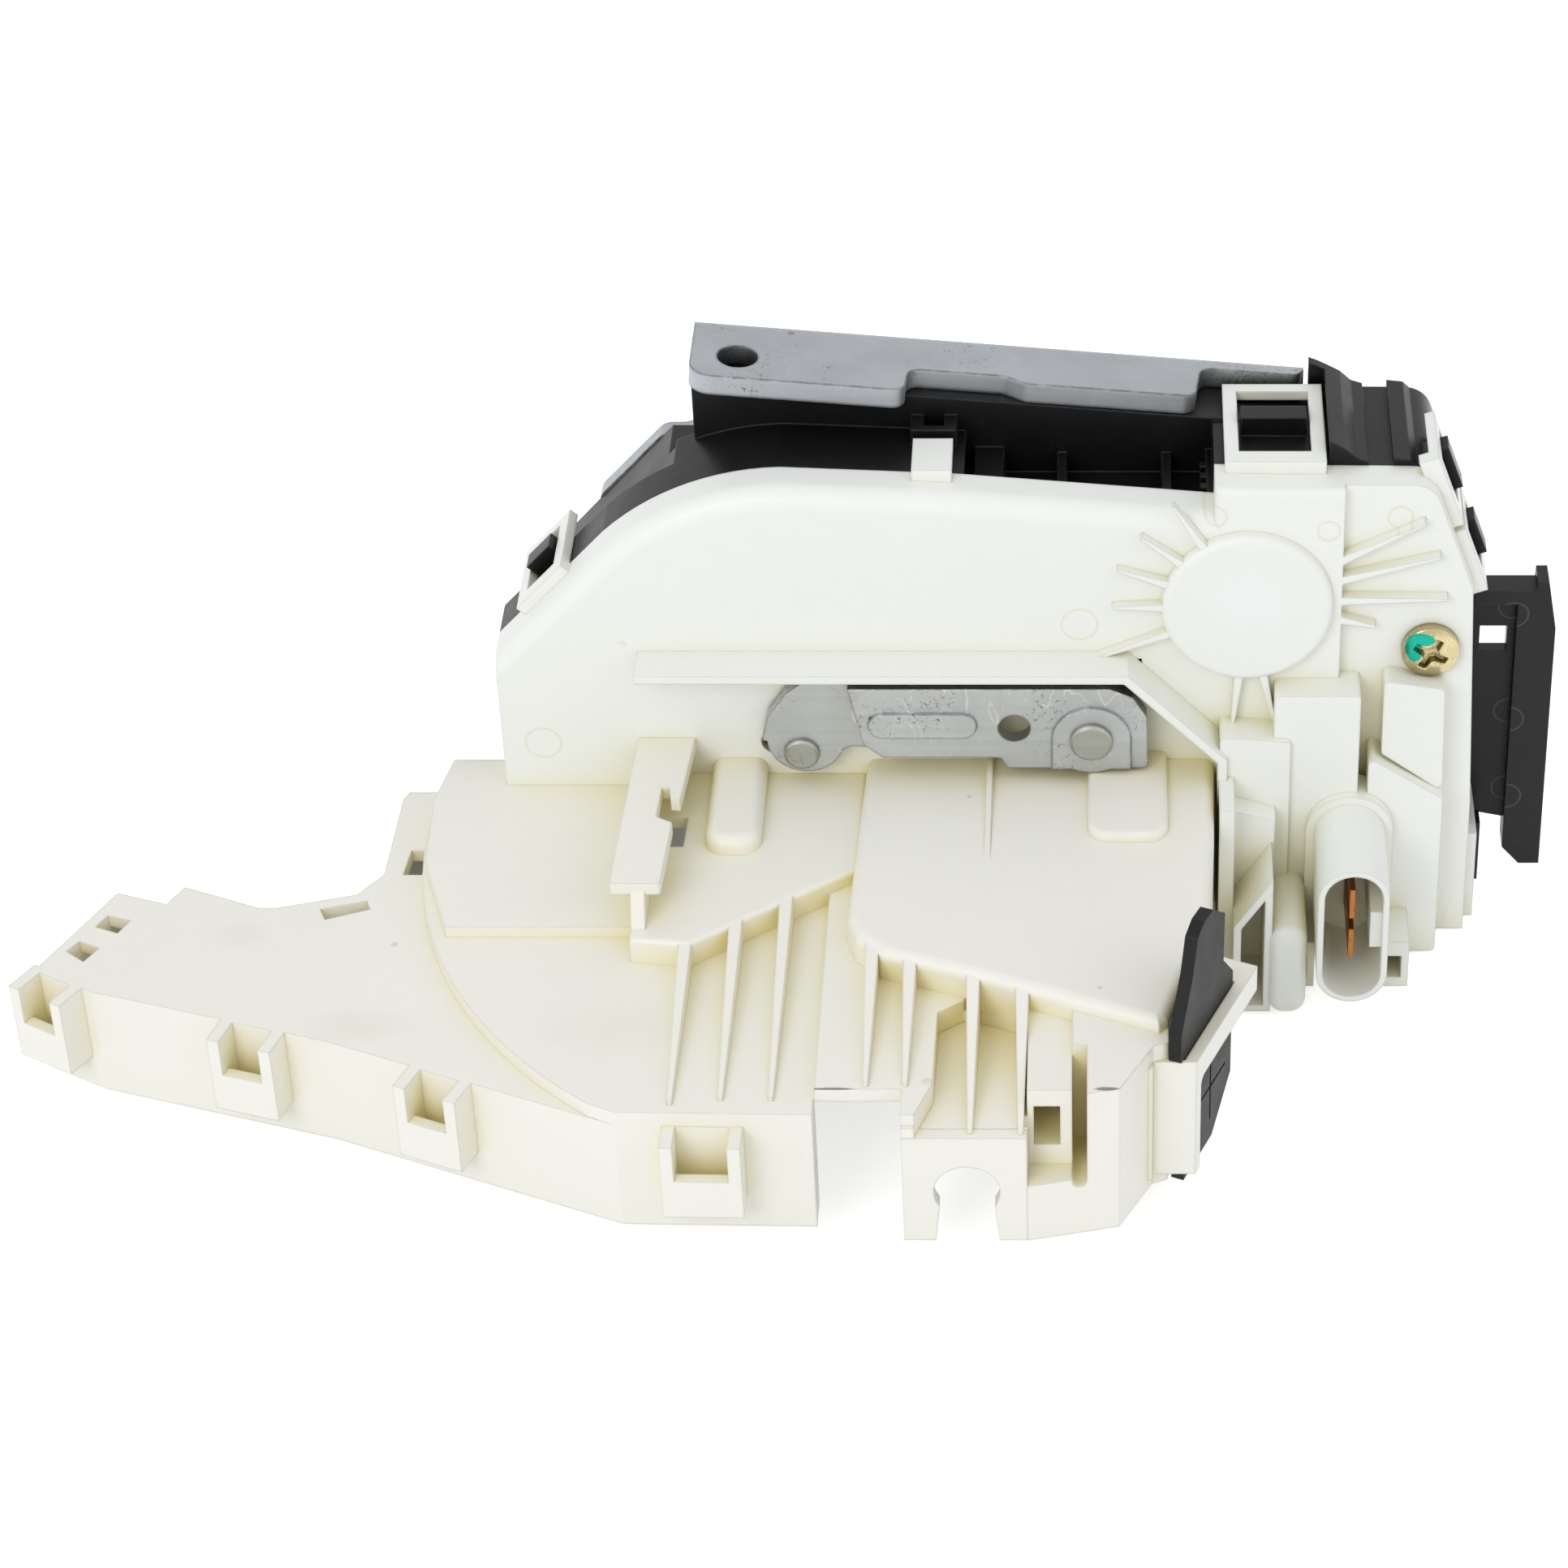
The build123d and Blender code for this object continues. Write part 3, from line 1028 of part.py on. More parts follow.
    # T-shaped rail with its hook, standing on the stepped deck, and the hole beside it
    with BuildSketch(level(rail_z)):
        Polygon(*rail_outline, align=None)
        fillet(vertices().filter_by(lambda v: v.Y < -57 or v.X < -23), 0.6)
    extrude(amount=-rail_thk)
    with BuildSketch(Plane.YZ.offset(-21.0)):
        Polygon((tray_back_y, step_deck_z - 1), (tray_back_y, rail_z - 1), (-57.5, rail_z - 1),
                (-60.6, step_deck_z - 1), align=None)
    extrude(amount=2.2)
    with BuildSketch(level(step_deck_z)):
        Polygon((-17.6, -32.0), (-14.4, -31.8), (-14.6, -39.4), (-17.6, -39.4), align=None)
    extrude(amount=-tray_wall, mode=Mode.SUBTRACT)
    # pill-shaped bosses at the foot of the cover
    for boss_x, boss_deck, boss_rise, boss_width, boss_length in tray_bosses:
        with BuildSketch(level(boss_deck - 1)):
            with Locations((boss_x, tray_back_y)):
                Rectangle(boss_width, boss_length, align=(Align.CENTER, Align.MAX))
            fillet(vertices().group_by(Axis.Y)[0], 3.4)
        extrude(amount=boss_rise + 1)
        boss_edges = tray.edges().filter_by(lambda e: abs(e.center().Z - boss_deck - boss_rise) < 0.01
                                            and abs(e.center().X - boss_x) < boss_width
                                            and e.center().Y < tray_back_y - 0.1)
        fillet(boss_edges, boss_rise * 0.6)
    # holes for the two fixing screws and the cable lever's window in the back wall
    with BuildSketch(facing(tray_back_y)):
        for fixing_x in fixing_places:
            with Locations((fixing_x, fixing_z)):
                Circle(fixing_r + 0.3)
        with Locations((lever_pivot[0] - (link_travel - link_slack) / 2, lever_z + lever_thk / 2)):
            Rectangle(lever_window_width, lever_window_height)
    extrude(amount=tray_wall, mode=Mode.SUBTRACT)
    # boss for the cable lever's pivot
    with BuildSketch(level(lever_z + lever_thk + seat)):
        with Locations(lever_pivot):
            Circle(6.0)
            Circle(lever_pin_r, mode=Mode.SUBTRACT)
    extrude(until=Until.NEXT)

    # side frame that holds the seal plate: front post, top bar, and a root at each end
    with BuildSketch(seal_plane.offset(seal_thk + 0.1)):
        Polygon((-2.5, 9.0), (3.4, 9.0), (3.4, frame_bar_z), (26.0, frame_bar_z), (26.0, frame_top_z),
                (-2.5, frame_top_z), align=None)
        fillet(vertices().sort_by_distance((3.4, frame_bar_z))[0], 1.5)
    extrude(amount=frame_thk)
    with BuildSketch(seal_plane.offset(seal_thk + 0.1)):
        Polygon((-2.5, 9.0), (seal_start - seat, 9.0), (seal_start - seat, frame_top_z), (-2.5, frame_top_z),
                align=None)
        Polygon((21.2, frame_bar_z), (26.0, frame_bar_z), (26.0, frame_top_z), (21.2, frame_top_z),
                align=None)
    extrude(amount=-seal_thk - 5.0)
    # the post's front face lies across the tray
    with BuildSketch(level(8.0)):
        Polygon((58.4, -96.0), (75.0, -96.0), (75.0, -88.5), (58.4, -88.5), align=None)
    extrude(amount=frame_top_z, mode=Mode.SUBTRACT)

tray.part.label = "tray"
export_step(tray.part, "parts/tray.step")

# ------------------------------------------------------------------ front plate of the cable clamp (cream)
with BuildPart() as clamp_plate:
    with BuildSketch(facing(clamp_y + tray_wall)):
        Polygon(*clamp_plate_outline, align=None)
        # keyhole, widening to its mouth
        with Locations((cable_x, cable_z)):
            Circle(clamp_r, mode=Mode.SUBTRACT)
        Polygon((cable_x - 4.1, cable_z), (cable_x - 4.1, 13.0), (cable_x - 5.4, 0), (cable_x + 5.4, 0),
                (cable_x + 4.1, 13.0), (cable_x + 4.1, cable_z), align=None, mode=Mode.SUBTRACT)
    extrude(amount=tray_wall)

clamp_plate.part.label = "clamp_plate"
export_step(clamp_plate.part, "parts/clamp_plate.step")

with BuildPart() as lever_pin:
    with BuildSketch(level(lever_z - 1.6)):
        with Locations(lever_pivot):
            Circle(lever_pin_r + 2.2)
    extrude(amount=1.3)
    with BuildSketch(level(lever_z - 0.3)):
        with Locations(lever_pivot):
            Circle(lever_pin_r)
    extrude(amount=lever_thk + seat + 8)

lever_pin.part.label = "cable_lever_pin"
export_step(lever_pin.part, "parts/cable_lever_pin.step")

# ------------------------------------------------------------------ rubber seal plate in the side frame
with BuildPart() as seal_plate:
    with BuildSketch(seal_plane):
        Polygon((seal_start, 7.0), (seal_start, frame_top_z + seat), (0, frame_top_z + seat), (0, 36.5),
                (4.3, 44.8), (5.9, 50.4), (8.4, 51.8), (11.8, 51.6), (16.8, 47.4), (16.6, 38.5), (20.6, 33.6),
                (20.6, 31.4), (18.6, 30.0), (20.4, 28.0), (20.4, 14.0), (13.0, 7.0), align=None)
    extrude(amount=seal_thk)
    # crossed slits
    with BuildSketch(seal_plane):
        with Locations((12.0, 17.5)):
            Rectangle(12.0, 0.5)
            Rectangle(0.5, 13.0)
    extrude(amount=seal_thk, mode=Mode.SUBTRACT)

seal_plate.part.label = "seal_plate"
export_step(seal_plate.part, "parts/seal_plate.step")

# ------------------------------------------------------------------ side bracket (black)
with BuildPart() as side_bracket:
    with BuildSketch(facing(bracket_y + bracket_thk / 2)):
        Polygon((head_right, 12.0), (head_right, 57.1), (120.1, 57.1), (120.1, 11.4), (117.2, 10.5),
                (113.1, 11.4), align=None)
        with Locations((113.8, 46.4)):
            Rectangle(4.4, 5.0, mode=Mode.SUBTRACT)
    extrude(amount=bracket_thk)
    with BuildSketch(facing(bracket_y + bracket_thk / 2)):
        Polygon((120.1, 2.5), (117.2, 5.9), (117.2, 57.1), (120.1, 57.1), (120.2, 59.0), (122.0, 59.0),
                (123.5, 50.0), (123.5, 2.5), align=None)
    extrude(amount=bracket_thk + 2.4)
    with BuildSketch(facing(bracket_y + bracket_thk / 2)):
        Polygon((head_right, 54.6), (head_right, 57.1), (120.1, 57.1), (120.1, 54.6), align=None)
    extrude(amount=bracket_thk + 2.4)

side_bracket.part.label = "side_bracket"
export_step(side_bracket.part, "parts/side_bracket.step")

# ------------------------------------------------------------------ motor, worm and worm wheel
module = 2 * wheel_pitch_r / wheel_teeth
worm_x = wheel_x + wheel_pitch_r + worm_pitch_r
worm_axis = (worm_x, wheel_mid_y)
with BuildPart() as motor_case:
    with BuildSketch(level(motor_base_z)):
        with Locations(worm_axis):
            Circle(motor_r)
            Rectangle(2 * motor_r, motor_flat, mode=Mode.INTERSECT)
    extrude(amount=motor_length)
    with BuildSketch(level(motor_base_z + motor_length)):
        with Locations(worm_axis):
            Circle(motor_boss_r)
    extrude(amount=2.0)
    with BuildSketch(level(motor_base_z + motor_length + 2.0)):
        with Locations(worm_axis):
            Circle(motor_shaft_r + slip)
    extrude(amount=-8.0, mode=Mode.SUBTRACT)

motor_case.part.label = "motor_case"
export_step(motor_case.part, "parts/motor_case.step")

with BuildPart() as motor_shaft:
    with BuildSketch(level(motor_base_z + motor_length - 5.5)):
        with Locations(worm_axis):
            Circle(motor_shaft_r)
    extrude(amount=wheel_z + worm_length / 2 + 2 - motor_base_z - motor_length + 5.5)

motor_shaft.part.label = "motor_shaft"
export_step(motor_shaft.part, "parts/motor_shaft.step")

worm_lead = pi * module
worm_core_r = worm_pitch_r - 1.25 * module + 0.3
thread_rise = 0.85 * module
with BuildPart() as worm:
    with BuildSketch(level(wheel_z - worm_length / 2)):
        with Locations(worm_axis):
            Circle(worm_core_r)
            Circle(motor_shaft_r, mode=Mode.SUBTRACT)
    extrude(amount=worm_length)
    # one right-hand thread, which faces the wheel at the height of the wheel's axis
    with BuildLine() as thread_path:
        Helix(worm_lead, 3 * worm_lead, worm_pitch_r, center=(*worm_axis, wheel_z - 1.5 * worm_lead))
    with BuildSketch(Plane(thread_path.line @ 0, x_dir=(1, 0, 0), z_dir=thread_path.line % 0)):
        Polygon((worm_core_r - worm_pitch_r - 0.15, 0.72), (thread_rise, 0.28), (thread_rise, -0.28),
                (worm_core_r - worm_pitch_r - 0.15, -0.72), align=None)
    sweep(path=thread_path.line, is_frenet=True)

worm.part.label = "worm"
export_step(worm.part, "parts/worm.step")


def tooth_points(centre, pitch_r, size, angle, thin):
    """Corners of one straight-flanked tooth at an angle; thin takes backlash off its width."""
    half = pi * size / 4 - thin
    corners = ((-1.15, half + 0.42 * size), (0.85, half - 0.3 * size), (0.85, -half + 0.3 * size),
               (-1.15, -half - 0.42 * size))
    points = []
    for out, side in corners:
        radius = pitch_r + out * size
        points.append(polar(centre, radius, angle + degrees(side / radius)))
    return points


wheel_axis = (wheel_x, wheel_z)
with BuildPart() as worm_wheel:
    with BuildSketch(facing(wheel_mid_y + wheel_thk / 2)):
        with Locations(wheel_axis):
            Circle(wheel_pitch_r - 1.1 * module)
        for tooth in range(wheel_teeth):
            Polygon(*tooth_points(wheel_axis, wheel_pitch_r, module, (tooth + 0.5) * 360 / wheel_teeth, 0.3),
                    align=None)
        with Locations(wheel_axis):
            Circle(axle_r + slip, mode=Mode.SUBTRACT)
    extrude(amount=wheel_thk)

worm_wheel.part.label = "worm_wheel"
export_step(worm_wheel.part, "parts/worm_wheel.step")

lock_axis = (lock_x, lock_z)
gear_module = 2 * hypot(wheel_x - lock_x, wheel_z - lock_z) / (pinion_teeth + sector_teeth)
gear_line_angle = degrees(atan2(lock_z - wheel_z, lock_x - wheel_x))
pinion_back_y = wheel_mid_y + wheel_thk / 2 + pinion_thk
with BuildPart() as lock_pinion:
    with BuildSketch(facing(pinion_back_y)):
        with Locations(wheel_axis):
            Circle(gear_module * (pinion_teeth / 2 - 1.1))
        for tooth in range(pinion_teeth):
            Polygon(*tooth_points(wheel_axis, gear_module * pinion_teeth / 2, gear_module,
                                  gear_line_angle + tooth * 360 / pinion_teeth, 0.15), align=None)
        with Locations(wheel_axis):
            Circle(axle_r + slip, mode=Mode.SUBTRACT)
    extrude(amount=pinion_thk)

lock_pinion.part.label = "lock_pinion"
export_step(lock_pinion.part, "parts/lock_pinion.step")

with BuildPart() as wheel_axle:
    with BuildSketch(facing(web_y)):
        with Locations(wheel_axis):
            Circle(axle_r)
    extrude(amount=web_y - cover_y + dome_rise - cover_wall)

wheel_axle.part.label = "wheel_axle"
export_step(wheel_axle.part, "parts/wheel_axle.step")

sector_r = gear_module * sector_teeth / 2
with BuildPart() as lock_lever:
    with BuildSketch(facing(pinion_back_y - 0.3)):
        with BuildSketch():
            with Locations(lock_axis):
                Circle(sector_r - 1.1 * gear_module)
            with BuildSketch(mode=Mode.INTERSECT):
                Polygon(*wedge(lock_axis, sector_r, gear_line_angle + 180 - sector_back,
                               gear_line_angle + 180 + sector_ahead), align=None)
        for tooth in range(-sector_teeth_back, 1):
            tooth_angle = gear_line_angle + 180 + (tooth + 0.5) * 360 / sector_teeth
            Polygon(*tooth_points(lock_axis, sector_r, gear_module, tooth_angle, 0.15), align=None)
        with Locations(lock_axis):
            Circle(pawl_hub_r)
            with Locations(Rotation(0, 0, lock_arm_angle)):
                with Locations((lock_arm_r / 2, 0)):
                    RectangleRounded(lock_arm_r + 5, 6.0, 2)
        with Locations(lock_axis):
            Circle(lock_pin_r + slip, mode=Mode.SUBTRACT)
    extrude(amount=pinion_thk - 0.6)
    # gate pin that reaches through the slider
    with BuildSketch(facing(pinion_back_y - 1.0)):
        with Locations(polar(lock_axis, lock_arm_r, lock_arm_angle)):
            Circle(gate_pin_r)
    extrude(amount=pinion_back_y - 1.0 - slider_back_y + slider_thk)

lock_lever.part.label = "lock_lever"
export_step(lock_lever.part, "parts/lock_lever.step")

with BuildPart() as lock_pin:
    with BuildSketch(facing(web_y + web_thk)):
        with Locations(lock_axis):
            Circle(lock_pin_r)
    extrude(amount=web_y + web_thk - pinion_back_y + pinion_thk + 0.4)
    with BuildSketch(facing(pinion_back_y - pinion_thk - 0.4)):
        with Locations(lock_axis):
            Circle(lock_pin_r + 1.5)
    extrude(amount=1.0)

lock_pin.part.label = "lock_pin"
export_step(lock_pin.part, "parts/lock_pin.step")

# ------------------------------------------------------------------ torsion springs
# Each is a coil about a pivot with two straight legs: name, pivot, back, wire radius, coil radius, turns.
for spring_name, spring_place, spring_back_y, wire_r, coil_r, turns in (
        ("catch_spring", catch_axis, catch_front_y - 0.3, 0.5, 5.2, 2.25),
        ("pawl_spring", pawl_axis, catch_front_y - 0.3, 0.45, 4.2, 2.25)):
    coil_pitch = 2 * wire_r + 0.15
    with BuildPart() as torsion_spring:
        with BuildLine() as coil:
            Helix(coil_pitch, coil_pitch * turns, coil_r,
                  center=(spring_place[0], spring_back_y - wire_r - coil_pitch * turns, spring_place[1]),
                  direction=(0, 1, 0))
        with BuildSketch(Plane(coil.line @ 0, z_dir=coil.line % 0)):
            RegularPolygon(wire_r, 6)
        sweep(path=coil.line, is_frenet=True)
        with BuildSketch(Plane(coil.line @ 0, z_dir=coil.line % 0)):
            RegularPolygon(wire_r, 6)
        extrude(amount=-spring_leg)
        with BuildSketch(Plane(coil.line @ 1, z_dir=coil.line % 1)):
            RegularPolygon(wire_r, 6)
        extrude(amount=spring_leg)
    torsion_spring.part.label = spring_name
    export_step(torsion_spring.part, f"parts/{spring_name}.step")

# ------------------------------------------------------------------ fasteners, terminals, bumper and switch
with BuildPart() as cover_screw:
    with BuildSketch(facing(module_y)):
        with Locations((screw_x, screw_z)):
            Circle(screw_head_r)
    extrude(amount=screw_head_h)
    fillet(cover_screw.faces().sort_by(Axis.Y)[0].edges(), screw_head_h * 0.75)
    with BuildSketch(facing(module_y - screw_head_h)):
        with Locations((screw_x, screw_z)):
            Rectangle(4.6, 1.2, rotation=15)
            Rectangle(1.2, 4.6, rotation=15)
    extrude(amount=-1.9, mode=Mode.SUBTRACT)
    with BuildSketch(facing(module_y)):
        with Locations((screw_x, screw_z)):
            Circle(screw_shank_r)
    extrude(amount=-screw_length)

cover_screw.part.label = "cover_screw"
export_step(cover_screw.part, "parts/cover_screw.step")

with BuildPart() as tray_screws:
    for fixing_x in fixing_places:
        with BuildSketch(facing(tray_back_y - tray_wall)):
            with Locations((fixing_x, fixing_z)):
                Circle(fixing_r * 1.9)
        extrude(amount=2.0)
        with BuildSketch(facing(tray_back_y - tray_wall)):
            with Locations((fixing_x, fixing_z)):
                Circle(fixing_r)
        extrude(amount=-tray_wall - 8.0)

tray_screws.part.label = "tray_screws"
export_step(tray_screws.part, "parts/tray_screws.step")

with BuildPart() as terminal_blades:
    with BuildSketch(facing(module_y + cover_wall + 3)):
        for blade_z in blade_heights:
            with Locations((socket_x, blade_z)):
                Rectangle(blade_thk, blade_width)
    extrude(amount=module_y + cover_wall + 3 - blade_tip_y)

terminal_blades.part.label = "terminal_blades"
export_step(terminal_blades.part, "parts/terminal_blades.step")

with BuildPart() as terminal_carrier:
    with BuildSketch(facing(module_y + cover_wall + 5)):
        with Locations((socket_x, socket_z)):
            Rectangle(14, 13)
            for blade_z in blade_heights:
                with Locations((socket_x - socket_x, blade_z - socket_z)):
                    Rectangle(blade_thk, blade_width, mode=Mode.SUBTRACT)
    extrude(amount=5)

terminal_carrier.part.label = "terminal_carrier"
export_step(terminal_carrier.part, "parts/terminal_carrier.step")

with BuildPart() as striker_bumper:
    with BuildSketch(facing(web_y + web_thk + 3.4)):
        with Locations((18.4, striker_z)):
            RectangleRounded(4.0, mouth_height - 0.6, 1.2)
    extrude(amount=3.4)

striker_bumper.part.label = "striker_bumper"
export_step(striker_bumper.part, "parts/striker_bumper.step")

with BuildPart() as ajar_switch:
    with BuildSketch(facing(web_y)):
        with Locations((4.0, 62.0)):
            Rectangle(13, 8)
    extrude(amount=6.4)

ajar_switch.part.label = "ajar_switch"
export_step(ajar_switch.part, "parts/ajar_switch.step")
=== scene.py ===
import logging
import math
from dataclasses import dataclass, field
from enum import Enum
from typing import Optional, Sequence

import bpy
import numpy as np
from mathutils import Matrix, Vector


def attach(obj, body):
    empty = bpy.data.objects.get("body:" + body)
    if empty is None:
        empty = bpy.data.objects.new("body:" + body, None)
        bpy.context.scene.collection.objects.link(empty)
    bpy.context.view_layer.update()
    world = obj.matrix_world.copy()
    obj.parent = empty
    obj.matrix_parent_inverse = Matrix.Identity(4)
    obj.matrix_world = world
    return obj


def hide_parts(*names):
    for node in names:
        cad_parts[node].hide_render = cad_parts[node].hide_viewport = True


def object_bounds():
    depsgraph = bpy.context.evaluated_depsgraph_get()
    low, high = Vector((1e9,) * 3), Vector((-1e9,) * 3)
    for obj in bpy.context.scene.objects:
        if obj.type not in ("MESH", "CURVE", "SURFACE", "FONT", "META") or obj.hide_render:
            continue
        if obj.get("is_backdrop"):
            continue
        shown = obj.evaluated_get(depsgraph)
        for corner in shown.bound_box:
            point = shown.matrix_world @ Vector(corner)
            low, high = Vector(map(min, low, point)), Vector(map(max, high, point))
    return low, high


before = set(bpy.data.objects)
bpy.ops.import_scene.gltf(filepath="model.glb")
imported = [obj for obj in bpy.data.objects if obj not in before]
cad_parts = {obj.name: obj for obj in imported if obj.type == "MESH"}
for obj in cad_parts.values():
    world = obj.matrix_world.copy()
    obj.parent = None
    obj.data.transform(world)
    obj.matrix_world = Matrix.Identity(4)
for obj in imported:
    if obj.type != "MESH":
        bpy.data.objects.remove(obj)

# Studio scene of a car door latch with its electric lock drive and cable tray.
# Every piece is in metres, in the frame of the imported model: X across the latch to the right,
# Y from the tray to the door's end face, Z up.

LOG = logging.getLogger("latch")
MM = 0.001
Colour = tuple[float, float, float]
WHITE: Colour = (1.0, 1.0, 1.0)


def srgb(red: int, green: int, blue: int) -> Colour:
    """Linear colour of an 8-bit sRGB one.

    Args:
        red: red, 0 to 255.
        green: green, 0 to 255.
        blue: blue, 0 to 255.

    Returns:
        The three linear values.
    """
    values = np.array([red, green, blue], float) / 255.0
    linear = np.where(values <= 0.04045, values / 12.92, ((values + 0.055) / 1.055) ** 2.4)
    return tuple(float(v) for v in linear)


# ------------------------------------------------------------------ shader graph helpers
class Graph:
    """A node tree with short calls to add and link nodes."""

    def __init__(self, tree: bpy.types.NodeTree) -> None:
        """Wraps a node tree."""
        self.tree = tree

    def add(self, kind: str, **values: object) -> bpy.types.Node:
        """Adds a node.

        Args:
            kind: Blender's type name of the node.
            values: attributes of the node; a name that starts with in_ sets the input of that
                number or, with underscores for spaces, of that name.

        Returns:
            The node.
        """
        node = self.tree.nodes.new(kind)
        for name, value in values.items():
            if name.startswith("in_"):
                self._input(node, name[3:]).default_value = value
            else:
                setattr(node, name, value)
        return node

    @staticmethod
    def _input(node: bpy.types.Node, name: str) -> bpy.types.NodeSocket:
        """The input socket of a number or of a name written with underscores."""
        return node.inputs[int(name)] if name.isdigit() else node.inputs[name.replace("_", " ")]

    def link(self, source: bpy.types.NodeSocket, target: bpy.types.NodeSocket) -> None:
        """Links one socket to another."""
        self.tree.links.new(source, target)

    def feed(self, target: bpy.types.NodeSocket, value: object) -> None:
        """Links a socket to an input, or sets the input to a number or a linear colour.

        Args:
            target: the input.
            value: the socket, number or colour.
        """
        if isinstance(value, bpy.types.NodeSocket):
            self.link(value, target)
        else:
            target.default_value = (*value, 1.0) if isinstance(value, tuple) else value

    def noise(self, vector: bpy.types.NodeSocket, scale: float, detail: float = 3.0,
              roughness: float = 0.55, stretch: Optional[Colour] = None) -> bpy.types.NodeSocket:
        """Adds a noise texture.

        Args:
            vector: coordinates it reads.
            scale: noise scale, per metre.
            detail: number of octaves.
            roughness: share of each finer octave.
            stretch: scale of each axis before the noise, or None for an even pattern.

        Returns:
            Its value output.
        """
        if stretch is not None:
            mapping = self.add("ShaderNodeMapping", in_Scale=stretch)
            self.link(vector, mapping.inputs["Vector"])
            vector = mapping.outputs["Vector"]
        node = self.add("ShaderNodeTexNoise", in_Scale=scale, in_Detail=detail, in_Roughness=roughness)
        self.link(vector, node.inputs["Vector"])
        return node.outputs["Fac"]

    def window(self, value: bpy.types.NodeSocket, low: float, high: float,
               to_low: float = 0.0, to_high: float = 1.0) -> bpy.types.NodeSocket:
        """Maps a value from one range to another, clamped and smoothed.

        Args:
            value: the value.
            low: input mapped to to_low.
            high: input mapped to to_high.
            to_low: result at low.
            to_high: result at high.

        Returns:
            The mapped value.
        """
        node = self.add("ShaderNodeMapRange", interpolation_type="SMOOTHSTEP", in_1=low, in_2=high,
                        in_3=to_low, in_4=to_high)
        self.link(value, node.inputs[0])
        return node.outputs[0]

    def math(self, operation: str, first: object, second: object = 0.0) -> bpy.types.NodeSocket:
        """Adds a math node on two sockets or numbers.

        Args:
            operation: Blender's name of the operation.
            first: first socket or number.
            second: second socket or number.

        Returns:
            Its result.
        """
        node = self.add("ShaderNodeMath", operation=operation)
        for index, value in enumerate((first, second)):
            self.feed(node.inputs[index], value)
        return node.outputs[0]

    def off_middle(self, value: bpy.types.NodeSocket) -> bpy.types.NodeSocket:
        """How far a noise value is from its middle, 0.5."""
        return self.math("ABSOLUTE", self.math("SUBTRACT", value, 0.5))

    def weigh(self, first: bpy.types.NodeSocket, second: bpy.types.NodeSocket,
              share: float) -> bpy.types.NodeSocket:
        """Adds a share of the first value to the rest of the second."""
        return self.math("ADD", self.math("MULTIPLY", first, share),
                         self.math("MULTIPLY", second, 1.0 - share))

    def blend(self, mask: object, first: object, second: object,
              mode: str = "MIX") -> bpy.types.NodeSocket:
        """Mixes two colours by a mask.

        Args:
            mask: share of the second colour, a socket or a number.
            first: socket or linear colour.
            second: socket or linear colour.
            mode: Blender's blend type.

        Returns:
            The mixed colour.
        """
        node = self.add("ShaderNodeMix", data_type="RGBA", blend_type=mode)
        mask_input, first_input, second_input, colour_output = 0, 6, 7, 2
        for index, value in ((mask_input, mask), (first_input, first), (second_input, second)):
            self.feed(node.inputs[index], value)
        return node.outputs[colour_output]

    def seen_directly(self) -> bpy.types.NodeSocket:
        """1 for rays from the camera, from gloss and through glass, and 0 for the rest."""
        path = self.add("ShaderNodeLightPath")
        return self.math("MAXIMUM", path.outputs["Is Camera Ray"], self.math(
            "MAXIMUM", path.outputs["Is Glossy Ray"], path.outputs["Is Transmission Ray"]))


class GroupGraph(Graph):
    """A shader node group with named inputs and outputs, shared by the materials."""

    def __init__(self, name: str, inputs: dict[str, float], outputs: dict[str, str]) -> None:
        """Makes an empty group.

        Args:
            name: the group's name.
            inputs: its number inputs with their defaults, beside the Vector it always has.
            outputs: its outputs with Blender's socket types.
        """
        super().__init__(bpy.data.node_groups.new(name, "ShaderNodeTree"))
        face = self.tree.interface
        face.new_socket(name="Vector", in_out="INPUT", socket_type="NodeSocketVector")
        for label, value in inputs.items():
            face.new_socket(name=label, in_out="INPUT", socket_type="NodeSocketFloat").default_value = value
        for label, kind in outputs.items():
            face.new_socket(name=label, in_out="OUTPUT", socket_type=kind)
        self.source = self.add("NodeGroupInput")
        self.sink = self.add("NodeGroupOutput")

    def read(self, label: str) -> bpy.types.NodeSocket:
        """The group's input of that name, as a socket to link from."""
        return self.source.outputs[label]

    def write(self, label: str, value: bpy.types.NodeSocket) -> None:
        """Links a value to the group's output of that name."""
        self.link(value, self.sink.inputs[label])


FLOAT = "NodeSocketFloat"
VECTOR = "NodeSocketVector"


